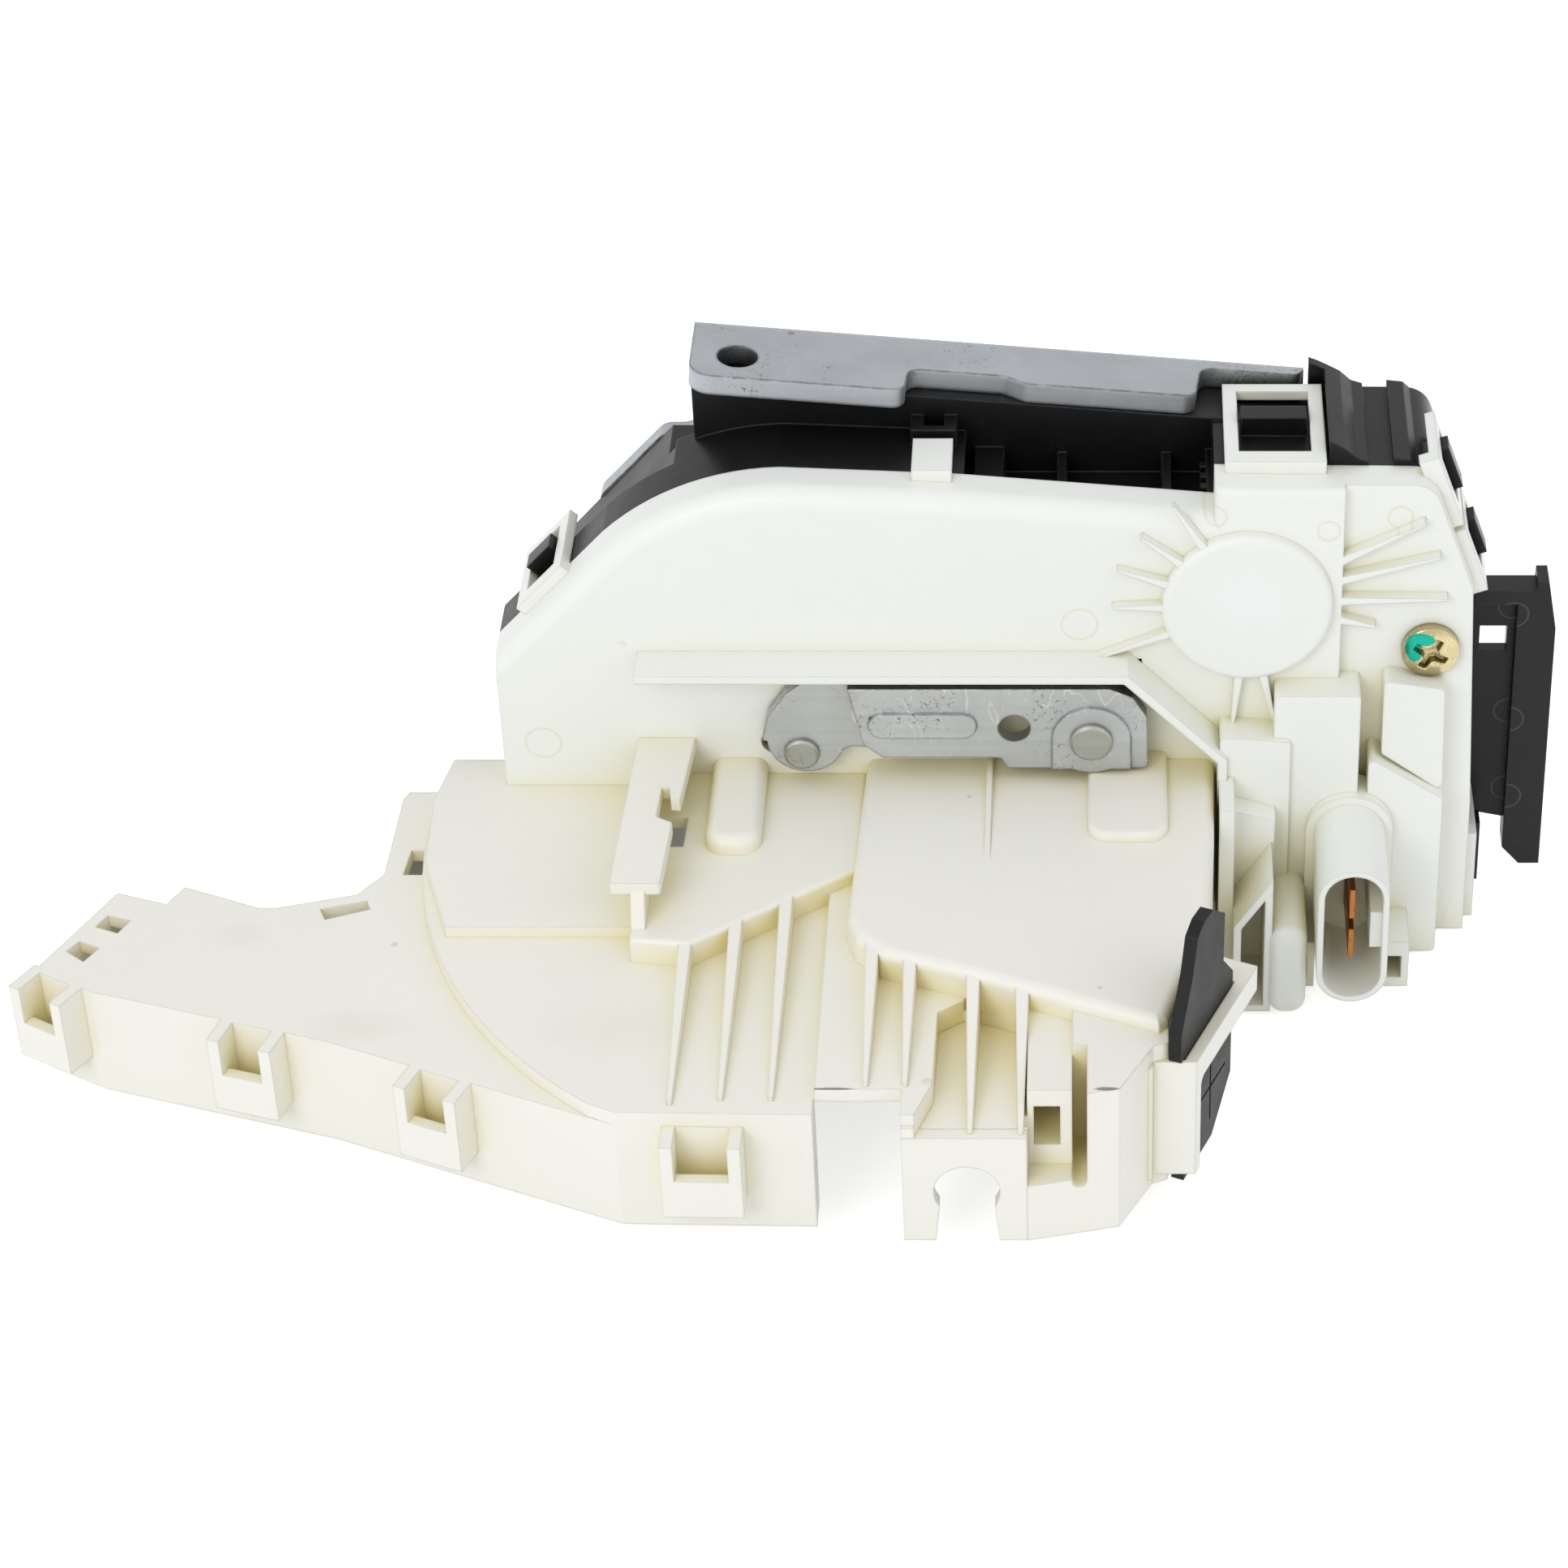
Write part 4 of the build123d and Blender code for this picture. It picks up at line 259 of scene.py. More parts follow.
class SurfaceEffects:
    """The shared effects: moulded grain, handling marks, edge masks and shelter masks for painted recess
    shade, scratches, rings.
    """

    def __init__(self) -> None:
        """Builds each group once."""
        self.grain = self._grain()
        self.marks = self._marks()
        self.edges = self._edges()
        self.scratches = self._scratches()
        self.ring = self._ring()

    @staticmethod
    def _grain() -> bpy.types.NodeTree:
        """Spark-eroded grain: fine noise added to a coarser one. Outputs Height and Tone."""
        group = GroupGraph("moulded_grain", {"Scale": 2600.0}, {"Height": FLOAT, "Tone": FLOAT})
        place = group.read("Vector")
        fine = group.add("ShaderNodeTexNoise", in_Detail=2.0, in_Roughness=0.6)
        group.link(place, fine.inputs["Vector"])
        group.link(group.read("Scale"), fine.inputs["Scale"])
        coarse = group.noise(place, scale=260.0, detail=4.0)
        slow = group.noise(place, scale=26.0)
        group.write("Height", group.weigh(fine.outputs["Fac"], coarse, share=0.6))
        group.write("Tone", group.weigh(coarse, slow, share=0.35))
        return group.tree

    @staticmethod
    def _marks() -> bpy.types.NodeTree:
        """Handling marks: sparse dark specks and soft smudges."""
        group = GroupGraph("handling_marks", {"Speck Size": 0.22}, {"Specks": FLOAT, "Smudge": FLOAT})
        place = group.read("Vector")
        cells = group.add("ShaderNodeTexVoronoi", feature="F1", in_Scale=150.0, in_Randomness=1.0)
        group.link(place, cells.inputs["Vector"])
        rare = group.window(group.noise(place, scale=60.0, detail=2.0), low=0.6, high=0.68)
        size = group.math("MULTIPLY", group.read("Speck Size"), group.noise(place, scale=90.0, detail=1.0))
        dot = group.math("LESS_THAN", cells.outputs["Distance"], size)
        group.write("Specks", group.math("MULTIPLY", dot, rare))
        cloud = group.noise(place, scale=34.0, detail=6.0, roughness=0.65)
        group.write("Smudge", group.window(cloud, low=0.52, high=0.74))
        return group.tree

    @staticmethod
    def _edges() -> bpy.types.NodeTree:
        """Edge and recess masks: the rounded normal, how far it leans from the face, and shelter, whose
        masks place painted shade.
        """
        group = GroupGraph("edges_and_recesses", {"Edge Radius": 0.0003, "Reach": 0.012},
                           {"Normal": VECTOR, "Edge": FLOAT, "Recess": FLOAT, "Depth": FLOAT})
        rounded = group.add("ShaderNodeBevel", samples=4)
        group.link(group.read("Edge Radius"), rounded.inputs["Radius"])
        flat = group.add("ShaderNodeNewGeometry")
        lean = group.add("ShaderNodeVectorMath", operation="DOT_PRODUCT")
        group.link(rounded.outputs["Normal"], lean.inputs[0])
        group.link(flat.outputs["Normal"], lean.inputs[1])
        group.write("Normal", rounded.outputs["Normal"])
        group.write("Edge", group.window(lean.outputs["Value"], low=0.985, high=0.86))
        shelter = group.add("ShaderNodeAmbientOcclusion", samples=6)
        group.link(group.read("Reach"), shelter.inputs["Distance"])
        group.write("Recess", group.window(shelter.outputs["AO"], low=0.9, high=0.3))
        group.write("Depth", group.window(shelter.outputs["AO"], low=0.5, high=0.08))
        return group.tree

    @staticmethod
    def _scratches() -> bpy.types.NodeTree:
        """Scratches along three directions, rolling lines, and pits: short curled dark lines in patches."""
        group = GroupGraph("scratches", {"Density": 0.5}, {"Scratches": FLOAT, "Rolling": FLOAT,
                                                           "Pits": FLOAT})
        place = group.read("Vector")
        total = 0.0
        for turn, stretch in ((0.3, 14.0), (1.2, 18.0), (2.3, 16.0)):
            turned = group.add("ShaderNodeMapping", in_Rotation=(turn, 0.6 * turn, turn))
            group.link(place, turned.inputs["Vector"])
            band = group.noise(turned.outputs["Vector"], scale=55.0, detail=2.0, roughness=0.5,
                               stretch=(1.0, stretch, 1.0))
            line = group.window(group.off_middle(band), low=0.006, high=0.0)
            part = group.noise(place, scale=70.0 + 30.0 * turn, detail=2.0)
            line = group.math("MULTIPLY", line, group.window(part, low=0.5, high=0.6))
            total = group.math("MAXIMUM", total, line)
        group.write("Scratches", group.math("MULTIPLY", total, group.read("Density")))
        group.write("Rolling", group.noise(place, scale=90.0, roughness=0.6, stretch=(0.12, 1.0, 9.0)))
        curl = group.window(group.off_middle(group.noise(place, scale=700.0, detail=2.0)),
                            low=0.02, high=0.006)
        broken = group.window(group.noise(place, scale=900.0, detail=1.0), low=0.48, high=0.56)
        patch = group.window(group.noise(place, scale=85.0), low=0.5, high=0.62)
        group.write("Pits", group.math("MULTIPLY", group.math("MULTIPLY", curl, broken), patch))
        return group.tree

    @staticmethod
    def _ring() -> bpy.types.NodeTree:
        """Ejector mark: 1 on a thin circle about a centre, seen along Y. Inputs in metres."""
        group = GroupGraph("ejector_ring", {"Centre X": 0.0, "Centre Z": 0.0, "Radius": 0.0023,
                                             "Width": 0.00018}, {"Ring": FLOAT})
        parts = group.add("ShaderNodeSeparateXYZ")
        group.link(group.read("Vector"), parts.inputs[0])
        across = group.math("SUBTRACT", parts.outputs["X"], group.read("Centre X"))
        above = group.math("SUBTRACT", parts.outputs["Z"], group.read("Centre Z"))
        length = group.math("SQRT", group.math("ADD", group.math("MULTIPLY", across, across),
                                               group.math("MULTIPLY", above, above)))
        off = group.math("ABSOLUTE", group.math("SUBTRACT", length, group.read("Radius")))
        group.write("Ring", group.math("LESS_THAN", off, group.read("Width")))
        return group.tree


# ------------------------------------------------------------------ finishes
class Family(Enum):
    """How a finish behaves."""

    PLASTIC = "moulded plastic"
    METAL = "plated or bare metal"
    RUBBER = "moulded rubber"


@dataclass(frozen=True)
class Finish:
    """One finish of the latch.

    Attributes:
        name: material name, as the record's slot.
        family: what it is.
        colour: main linear colour.
        shade: painted shade, the colour mixed into sheltered recesses.
        deep: painted shade in the deepest recesses, and the colour of pits and of ejector rings on pale
            finishes.
        edge: colour of thin edges, a painted highlight where it is lighter than the finish, and wear where
            it is darker.
        roughness: mean roughness.
        spread: how far roughness varies.
        grain: grain scale, per metre.
        bump: bump height in metres.
        dirt: strength of specks and smudges.
        scratch: strength of scratches.
        radius: edge rounding in metres.
        reach: how far away walls still cast painted shade into a recess, in metres.
        shade_share: most of the painted recess shade that is mixed in.
        edge_share: most of the edge colour, painted highlight and wear, that is mixed in.
        gloss: level of the clear surface reflection, 0.5 for common plastic.
    """

    name: str
    family: Family
    colour: Colour
    shade: Colour
    deep: Colour
    edge: Colour
    roughness: float
    spread: float = 0.08
    grain: float = 2600.0
    bump: float = 0.00002
    dirt: float = 0.3
    scratch: float = 0.2
    radius: float = 0.0003
    reach: float = 0.012
    shade_share: float = 0.6
    edge_share: float = 0.5
    gloss: float = 0.5


FINISHES: tuple[Finish, ...] = (
    # Cover and tray: their shade and deep colours are painted shade, tinted warm as if lit through the thin
    # plastic.
    Finish("cover_white", Family.PLASTIC, colour=srgb(239, 241, 237), shade=srgb(239, 239, 226),
           deep=srgb(228, 223, 190), edge=srgb(247, 248, 246), roughness=0.4, spread=0.05, grain=2400.0,
           bump=0.000008, dirt=0.3, scratch=0.08, radius=0.0005, reach=0.01, shade_share=0.8,
           edge_share=0.3, gloss=0.45),
    Finish("tray_cream", Family.PLASTIC, colour=srgb(239, 238, 230), shade=srgb(241, 236, 210),
           deep=srgb(232, 221, 168), edge=srgb(246, 246, 240), roughness=0.38, spread=0.06, grain=2200.0,
           bump=0.000008, dirt=0.3, scratch=0.08, radius=0.0005, reach=0.014, shade_share=0.85,
           edge_share=0.3, gloss=0.45),
    Finish("housing_black", Family.PLASTIC, colour=srgb(22, 22, 24), shade=srgb(8, 8, 9),
           deep=srgb(4, 4, 4), edge=srgb(84, 85, 88), roughness=0.34, spread=0.08, grain=1900.0,
           bump=0.00002, dirt=0.3, scratch=0.35, radius=0.0004, reach=0.01, shade_share=0.7, gloss=0.26),
    # Painted shade: the slider's olive colour, with recess colours barely darker, stands for pale plastic
    # as it looks in shadow behind the cover.
    Finish("slider_plastic", Family.PLASTIC, colour=srgb(172, 158, 100), shade=srgb(150, 136, 78),
           deep=srgb(132, 118, 62), edge=srgb(186, 176, 124), roughness=0.45, spread=0.06, bump=0.00001,
           dirt=0.2, scratch=0.1, gloss=0.3),
    Finish("gear_plastic", Family.PLASTIC, colour=srgb(224, 220, 202), shade=srgb(180, 172, 136),
           deep=srgb(140, 130, 88), edge=srgb(238, 236, 224), roughness=0.38, spread=0.06, bump=0.00001,
           dirt=0.2, scratch=0.1, gloss=0.4),
    Finish("seal_rubber", Family.RUBBER, colour=srgb(28, 27, 28), shade=srgb(12, 12, 12),
           deep=srgb(6, 6, 6), edge=srgb(70, 70, 71), roughness=0.5, grain=1500.0, bump=0.000025,
           dirt=0.4, scratch=0.1, radius=0.0004, gloss=0.24),
    Finish("bumper_rubber", Family.RUBBER, colour=srgb(44, 43, 41), shade=srgb(20, 19, 18),
           deep=srgb(10, 10, 9), edge=srgb(72, 71, 69), roughness=0.62, spread=0.06, grain=1500.0,
           bump=0.000025, dirt=0.2, scratch=0.05, gloss=0.22),
    Finish("plate_steel", Family.METAL, colour=srgb(175, 179, 183), shade=srgb(120, 121, 121),
           deep=srgb(66, 66, 66), edge=srgb(72, 68, 64), roughness=0.5, spread=0.06, grain=700.0,
           bump=0.000012, dirt=0.6, scratch=0.6, radius=0.0007, reach=0.008, shade_share=0.4,
           edge_share=0.9),
    Finish("latch_steel", Family.METAL, colour=srgb(203, 206, 208), shade=srgb(150, 149, 144),
           deep=srgb(76, 71, 62), edge=srgb(82, 78, 72), roughness=0.46, spread=0.08, grain=800.0,
           bump=0.00001, dirt=0.6, scratch=0.8, radius=0.0005, reach=0.005, shade_share=0.45,
           edge_share=0.75),
    Finish("pin_steel", Family.METAL, colour=srgb(182, 184, 177), shade=srgb(126, 123, 114),
           deep=srgb(66, 63, 55), edge=srgb(74, 71, 65), roughness=0.5, spread=0.08, grain=900.0,
           bump=0.00002, dirt=0.6, scratch=0.8, radius=0.0004, reach=0.004, shade_share=0.5,
           edge_share=0.6),
    Finish("spring_steel", Family.METAL, colour=srgb(110, 112, 116), shade=srgb(50, 50, 52),
           deep=srgb(30, 30, 32), edge=srgb(150, 150, 152), roughness=0.34, grain=900.0, bump=0.000006,
           dirt=0.2, radius=0.0001, reach=0.006, shade_share=0.4),
    Finish("screw_zinc", Family.METAL, colour=srgb(198, 186, 144), shade=srgb(120, 102, 56),
           deep=srgb(62, 47, 20), edge=srgb(226, 218, 188), roughness=0.24, spread=0.08, grain=1200.0,
           bump=0.000008, scratch=0.4, radius=0.0002, reach=0.003, edge_share=0.4),
    Finish("blade_copper", Family.METAL, colour=srgb(168, 106, 54), shade=srgb(118, 70, 30),
           deep=srgb(82, 46, 18), edge=srgb(196, 140, 88), roughness=0.36, grain=900.0, bump=0.00001,
           dirt=0.6, scratch=0.8, radius=0.0001, reach=0.006, shade_share=0.4),
    Finish("worm_brass", Family.METAL, colour=srgb(218, 188, 112), shade=srgb(130, 100, 46),
           deep=srgb(80, 58, 22), edge=srgb(236, 214, 160), roughness=0.3, grain=900.0, bump=0.000006,
           dirt=0.2, radius=0.0001, reach=0.006, shade_share=0.4),
    Finish("motor_can", Family.METAL, colour=srgb(186, 188, 190), shade=srgb(96, 96, 96),
           deep=srgb(60, 60, 60), edge=srgb(214, 216, 218), roughness=0.3, grain=700.0, bump=0.000006,
           dirt=0.2, scratch=0.3),
)


@dataclass(frozen=True)
class RoundMark:
    """A round ejector mark on an upright face, in millimetres.

    Attributes:
        x: X of its centre.
        z: Z of its centre.
        radius: radius of its circle.
    """

    x: float
    z: float
    radius: float


@dataclass(frozen=True)
class Dab:
    """A dab of paint, a smudge, a scuff or a painted highlight: an ellipsoid about a centre with a ragged
    edge.

    Attributes:
        centre: X, Y and Z of its middle, in millimetres.
        reach: its half sizes along X, Y and Z, in millimetres.
        colour: linear colour.
        strength: how far it covers what is under it.
        soft: share of its reach over which it fades out.
    """

    centre: tuple[float, float, float]
    reach: tuple[float, float, float]
    colour: Colour
    strength: float = 1.0
    soft: float = 0.15


class MaterialBench:
    """Makes the finishes' materials.

    Attributes:
        effects: the shared effects.
    """

    METAL_SWING = 0.09  # how far the brightness of a metal varies
    MOULDED_SWING = 0.012  # the same of plastic and rubber
    MOULDED_IOR = 1.48
    BLACK_LIMIT = 0.1  # a finish darker than this counts as black
    DIRT_BRIGHTNESS = 0.35  # of a speck, against the finish
    SOIL_BRIGHTNESS = 0.72  # of a smudge, against the finish
    SOIL_STRENGTH = 0.15
    SOIL_ROUGHNESS = 0.08  # added where the finish is smudged
    SCRATCH_BRIGHTNESS = 1.6  # of a scratch, against the finish
    SCRATCH_LIFT = 0.02
    SCRATCH_STRENGTH = 0.5
    SCRATCH_HEIGHT = -0.8  # in shares of the grain's height
    RING_STRENGTH = 0.5
    RING_HEIGHT = 3.0
    RAGGED_SCALE = 420.0  # of the noise that breaks up worn edges and dabs, per metre
    RAGGED_DETAIL = 4.0
    RAGGED_REACH = 0.7

    def __init__(self, effects: SurfaceEffects) -> None:
        """Keeps the shared effects."""
        self.effects = effects

    def _place(self, graph: Graph, tree: bpy.types.NodeTree, vector: bpy.types.NodeSocket,
               **values: float) -> bpy.types.Node:
        """Places a shared group in a material.

        Args:
            graph: the material's graph.
            tree: the group.
            vector: coordinates for it.
            values: its number inputs, with underscores for spaces.

        Returns:
            The group node.
        """
        node = graph.add("ShaderNodeGroup", node_tree=tree)
        graph.link(vector, node.inputs["Vector"])
        for name, value in values.items():
            node.inputs[name.replace("_", " ")].default_value = value
        return node

    def _colour(self, graph: Graph, finish: Finish, place: bpy.types.NodeSocket,
                tone: bpy.types.NodeSocket, edges: bpy.types.Node) -> bpy.types.NodeSocket:
        """Varies a finish's colour, paints shade into its recesses and paints highlight and wear on its
        edges.

        Args:
            graph: the material's graph.
            finish: the finish.
            place: object coordinates.
            tone: the grain's slow variation.
            edges: the placed group of edge masks and painted-shade masks.

        Returns:
            The colour.
        """
        swing = self.METAL_SWING if finish.family is Family.METAL else self.MOULDED_SWING
        tone = graph.window(tone, low=0.3, high=0.7, to_low=1.0 - swing, to_high=1.0 + 0.5 * swing)
        colour = graph.blend(1.0, finish.colour, tone, mode="MULTIPLY")
        # Painted shade: sheltered recesses take the shade colour, the most sheltered ones the deep colour.
        shade = graph.math("MULTIPLY", edges.outputs["Recess"], finish.shade_share)
        colour = graph.blend(shade, colour, finish.shade)
        colour = graph.blend(edges.outputs["Depth"], colour, finish.deep)
        # Painted edge highlight and wear: noise breaks up the edge colour, a painted highlight where it is
        # lighter than the finish and wear on the bare steels, where it is darker.
        broken = graph.noise(place, self.RAGGED_SCALE, self.RAGGED_DETAIL, roughness=0.65)
        edge_wear_and_highlight = graph.window(broken, low=0.3, high=0.62, to_low=0.15)
        edge_wear_and_highlight = graph.math("MULTIPLY", edge_wear_and_highlight, finish.edge_share)
        return graph.blend(graph.math("MULTIPLY", edges.outputs["Edge"], edge_wear_and_highlight), colour, finish.edge)

    def _handled(self, graph: Graph, finish: Finish, colour: bpy.types.NodeSocket,
                 marks: bpy.types.Node, wear: bpy.types.Node) -> bpy.types.NodeSocket:
        """Adds specks, smudges and scratches to a colour.

        Args:
            graph: the material's graph.
            finish: the finish.
            colour: the clean colour.
            marks: the placed group of handling marks.
            wear: the placed group of scratches.

        Returns:
            The colour with its marks.
        """
        dirt = tuple(self.DIRT_BRIGHTNESS * c for c in finish.colour)
        colour = graph.blend(graph.math("MULTIPLY", marks.outputs["Specks"], finish.dirt), colour, dirt)
        soil = tuple(self.SOIL_BRIGHTNESS * c for c in finish.colour)
        smudge = graph.math("MULTIPLY", marks.outputs["Smudge"], self.SOIL_STRENGTH * finish.dirt)
        colour = graph.blend(smudge, colour, soil)
        light = tuple(min(1.0, self.SCRATCH_BRIGHTNESS * c + self.SCRATCH_LIFT) for c in finish.colour)
        scratch = graph.math("MULTIPLY", wear.outputs["Scratches"], self.SCRATCH_STRENGTH)
        return graph.blend(scratch, colour, light)

    def _rolled(self, graph: Graph, finish: Finish, colour: bpy.types.NodeSocket,
                wear: bpy.types.Node) -> bpy.types.NodeSocket:
        """Adds a metal's rolling lines and pits to its colour.

        Args:
            graph: the material's graph.
            finish: the finish.
            colour: the colour under them.
            wear: the placed group of scratches.

        Returns:
            The colour with its lines and pits.
        """
        rolled = graph.window(wear.outputs["Rolling"], low=0.35, high=0.65, to_low=0.96, to_high=1.02)
        colour = graph.blend(1.0, colour, rolled, mode="MULTIPLY")
        pits = graph.math("MULTIPLY", wear.outputs["Pits"], finish.scratch)
        return graph.blend(pits, colour, finish.deep)

    def _roughness(self, graph: Graph, finish: Finish, tone: bpy.types.NodeSocket,
                   smudge: bpy.types.NodeSocket) -> bpy.types.NodeSocket:
        """Varies a finish's roughness with its grain and its smudges.

        Args:
            graph: the material's graph.
            finish: the finish.
            tone: the grain's slow variation.
            smudge: the smudges' mask.

        Returns:
            The roughness.
        """
        rough = graph.window(tone, low=0.25, high=0.75, to_low=finish.roughness - finish.spread,
                             to_high=finish.roughness + finish.spread)
        return graph.math("ADD", rough, graph.math("MULTIPLY", smudge, self.SOIL_ROUGHNESS))

    def build(self, finish: Finish, rings: Sequence[RoundMark] = (), name: Optional[str] = None,
              dabs: Sequence[Dab] = ()) -> bpy.types.Material:
        """Builds a finish's material.

        Args:
            finish: the finish.
            rings: ejector marks.
            name: material name, if not the finish's own.
            dabs: dabs of paint, smudges, scuffs and painted highlights.

        Returns:
            The material.
        """
        material = bpy.data.materials.new(name or finish.name)
        material.use_nodes = True
        graph = Graph(material.node_tree)
        material.node_tree.nodes.clear()
        surface = graph.add("ShaderNodeOutputMaterial")
        shader = graph.add("ShaderNodeBsdfPrincipled")
        graph.link(shader.outputs[0], surface.inputs[0])
        place = graph.add("ShaderNodeTexCoord").outputs["Object"]
        grain = self._place(graph, self.effects.grain, place, Scale=finish.grain)
        marks = self._place(graph, self.effects.marks, place)
        edges = self._place(graph, self.effects.edges, place, Edge_Radius=finish.radius,
                            Reach=finish.reach)
        wear = self._place(graph, self.effects.scratches, place, Density=finish.scratch)
        colour = self._colour(graph, finish, place, grain.outputs["Tone"], edges)
        colour = self._handled(graph, finish, colour, marks, wear)
        rough = self._roughness(graph, finish, grain.outputs["Tone"], marks.outputs["Smudge"])
        height = grain.outputs["Height"]
        if finish.family is Family.METAL:
            shader.inputs["Metallic"].default_value = 1.0
            colour = self._rolled(graph, finish, colour, wear)
            cut = graph.math("MULTIPLY", wear.outputs["Scratches"], self.SCRATCH_HEIGHT)
            height = graph.math("ADD", height, cut)
        else:
            shader.inputs["IOR"].default_value = self.MOULDED_IOR
            shader.inputs["Specular IOR Level"].default_value = finish.gloss
        # Ejector rings are real marks, tinted with painted light: on black finishes the lighter edge
        # colour, a painted highlight; on pale ones the deep colour, painted shade.
        ring_colour = finish.edge if max(finish.colour) < self.BLACK_LIMIT else finish.deep
        for mark in rings:
            ring = self._place(graph, self.effects.ring, place, Centre_X=mark.x * MM,
                               Centre_Z=mark.z * MM, Radius=mark.radius * MM).outputs["Ring"]
            colour = graph.blend(graph.math("MULTIPLY", ring, self.RING_STRENGTH), colour, ring_colour)
            height = graph.math("SUBTRACT", height, graph.math("MULTIPLY", ring, self.RING_HEIGHT))
        for dab in dabs:
            colour = self._dab(graph, place, colour, dab)
        graph.link(colour, shader.inputs["Base Color"])
        graph.link(rough, shader.inputs["Roughness"])
        bump = graph.add("ShaderNodeBump", in_Strength=1.0, in_Distance=finish.bump)
        graph.link(height, bump.inputs["Height"])
        graph.link(edges.outputs["Normal"], bump.inputs["Normal"])
        graph.link(bump.outputs["Normal"], shader.inputs["Normal"])
        return material

    def _dab(self, graph: Graph, place: bpy.types.NodeSocket, colour: bpy.types.NodeSocket,
             dab: Dab) -> bpy.types.NodeSocket:
        """Adds a dab to a colour.

        Args:
            graph: the material's graph.
            place: object coordinates.
            colour: colour under the dab.
            dab: the dab.

        Returns:
            The colour with the dab.
        """
        middle = graph.add("ShaderNodeVectorMath", operation="SUBTRACT", in_1=Vector(dab.centre) * MM)
        graph.link(place, middle.inputs[0])
        scaled = graph.add("ShaderNodeVectorMath", operation="MULTIPLY",
                           in_1=tuple(1.0 / (half * MM) for half in dab.reach))
        graph.link(middle.outputs[0], scaled.inputs[0])
        length = graph.add("ShaderNodeVectorMath", operation="LENGTH")
        graph.link(scaled.outputs[0], length.inputs[0])
        noise = graph.math("SUBTRACT", graph.noise(place, self.RAGGED_SCALE, self.RAGGED_DETAIL), 0.5)
        ragged = graph.math("ADD", length.outputs["Value"],
                            graph.math("MULTIPLY", noise, self.RAGGED_REACH))
        cover = graph.window(ragged, low=1.0, high=1.0 - dab.soft)
        return graph.blend(graph.math("MULTIPLY", cover, dab.strength), colour, dab.colour)


def dress(nodes: Sequence[str], material: bpy.types.Material) -> None:
    """Puts a material on CAD nodes, in place of their own.

    Args:
        nodes: names of the nodes.
        material: the material.
    """
    for name in nodes:
        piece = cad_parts[name]
        piece.data.materials.clear()
        piece.data.materials.append(material)
        LOG.info("%s wears %s", name, material.name)


# ------------------------------------------------------------------ surfaces worked out on a grid
def grid_mesh(name: str, points: np.ndarray, closed: bool = False,
              smooth: bool = True) -> bpy.types.Object:
    """Makes a mesh object from a grid of points.

    Face (i, j) joins points (i, j), (i+1, j), (i+1, j+1) and (i, j+1).

    Args:
        name: object name.
        points: array of shape (rows, columns, 3), in metres.
        closed: join the last column to the first, as on a turned piece.
        smooth: shade the faces smoothly.

    Returns:
        The object, linked to the scene.
    """
    rows, columns = points.shape[:2]
    index = np.arange(rows * columns).reshape(rows, columns)
    if closed:
        index = np.hstack([index, index[:, :1]])
    faces = np.stack([index[:-1, :-1], index[1:, :-1], index[1:, 1:], index[:-1, 1:]], -1).reshape(-1, 4)
    mesh = bpy.data.meshes.new(name)
    mesh.from_pydata(points.reshape(-1, 3).tolist(), [], faces.tolist())
    mesh.polygons.foreach_set("use_smooth", np.full(len(mesh.polygons), smooth))
    mesh.update()
    piece = bpy.data.objects.new(name, mesh)
    bpy.context.scene.collection.objects.link(piece)
    return piece


# ------------------------------------------------------------------ sub-assemblies
@dataclass
class WhiteCover:
    """The head's white cover with its moulding marks and a painted highlight on its dome.

    Attributes:
        nodes: CAD nodes dressed here.
        dome_painted_highlight: a painted highlight, a lighter bluish disc on the dome.
        ejector_marks: the round moulding marks.
    """

    nodes: tuple[str, ...] = ("latch_cover",)
    # Painted highlight: a lighter, bluish disc on the dome.
    dome_painted_highlight: Dab = Dab((73.4, -26.0, 67.6), (11.0, 6.0, 11.0), srgb(244, 248, 250), 0.6, 0.6)
    ejector_marks: tuple[RoundMark, ...] = (
        RoundMark(68.2, 82.0, 1.7), RoundMark(85.6, 79.5, 1.7), RoundMark(96.7, 80.7, 1.9),
        RoundMark(47.3, 62.1, 2.8), RoundMark(-37.9, 39.3, 2.8))

    def build(self, bench: MaterialBench, finish: Finish) -> None:
        """Dresses the cover."""
        dress(self.nodes, bench.build(finish, rings=self.ejector_marks, dabs=(self.dome_painted_highlight,)))


@dataclass
class CableTray:
    """The cream cable tray with its smudges and scuffs.

    Attributes:
        nodes: CAD nodes dressed here.
        smudges: brownish smudges on the decks and dark scuffs on their edges.
    """

    nodes: tuple[str, ...] = ("tray", "clamp_plate")
    smudges: tuple[Dab, ...] = (
        Dab((-61.6, -75.0, 26.5), (11.0, 6.0, 3.0), srgb(214, 202, 184), 0.22, 1.0),
        Dab((-82.9, -52.6, 26.5), (7.0, 5.0, 3.0), srgb(218, 206, 190), 0.2, 1.0),
        Dab((-22.5, -78.5, 29.0), (16.0, 9.0, 4.0), srgb(226, 218, 202), 0.25, 1.0),
        Dab((11.0, -94.6, 31.0), (5.0, 0.5, 0.18), srgb(104, 88, 76), 0.8, 0.5),
        Dab((51.4, -98.0, 34.0), (2.6, 0.5, 0.18), srgb(104, 88, 76), 0.8, 0.5))

    def build(self, bench: MaterialBench, finish: Finish) -> None:
        """Dresses the tray."""
        dress(self.nodes, bench.build(finish, dabs=self.smudges))


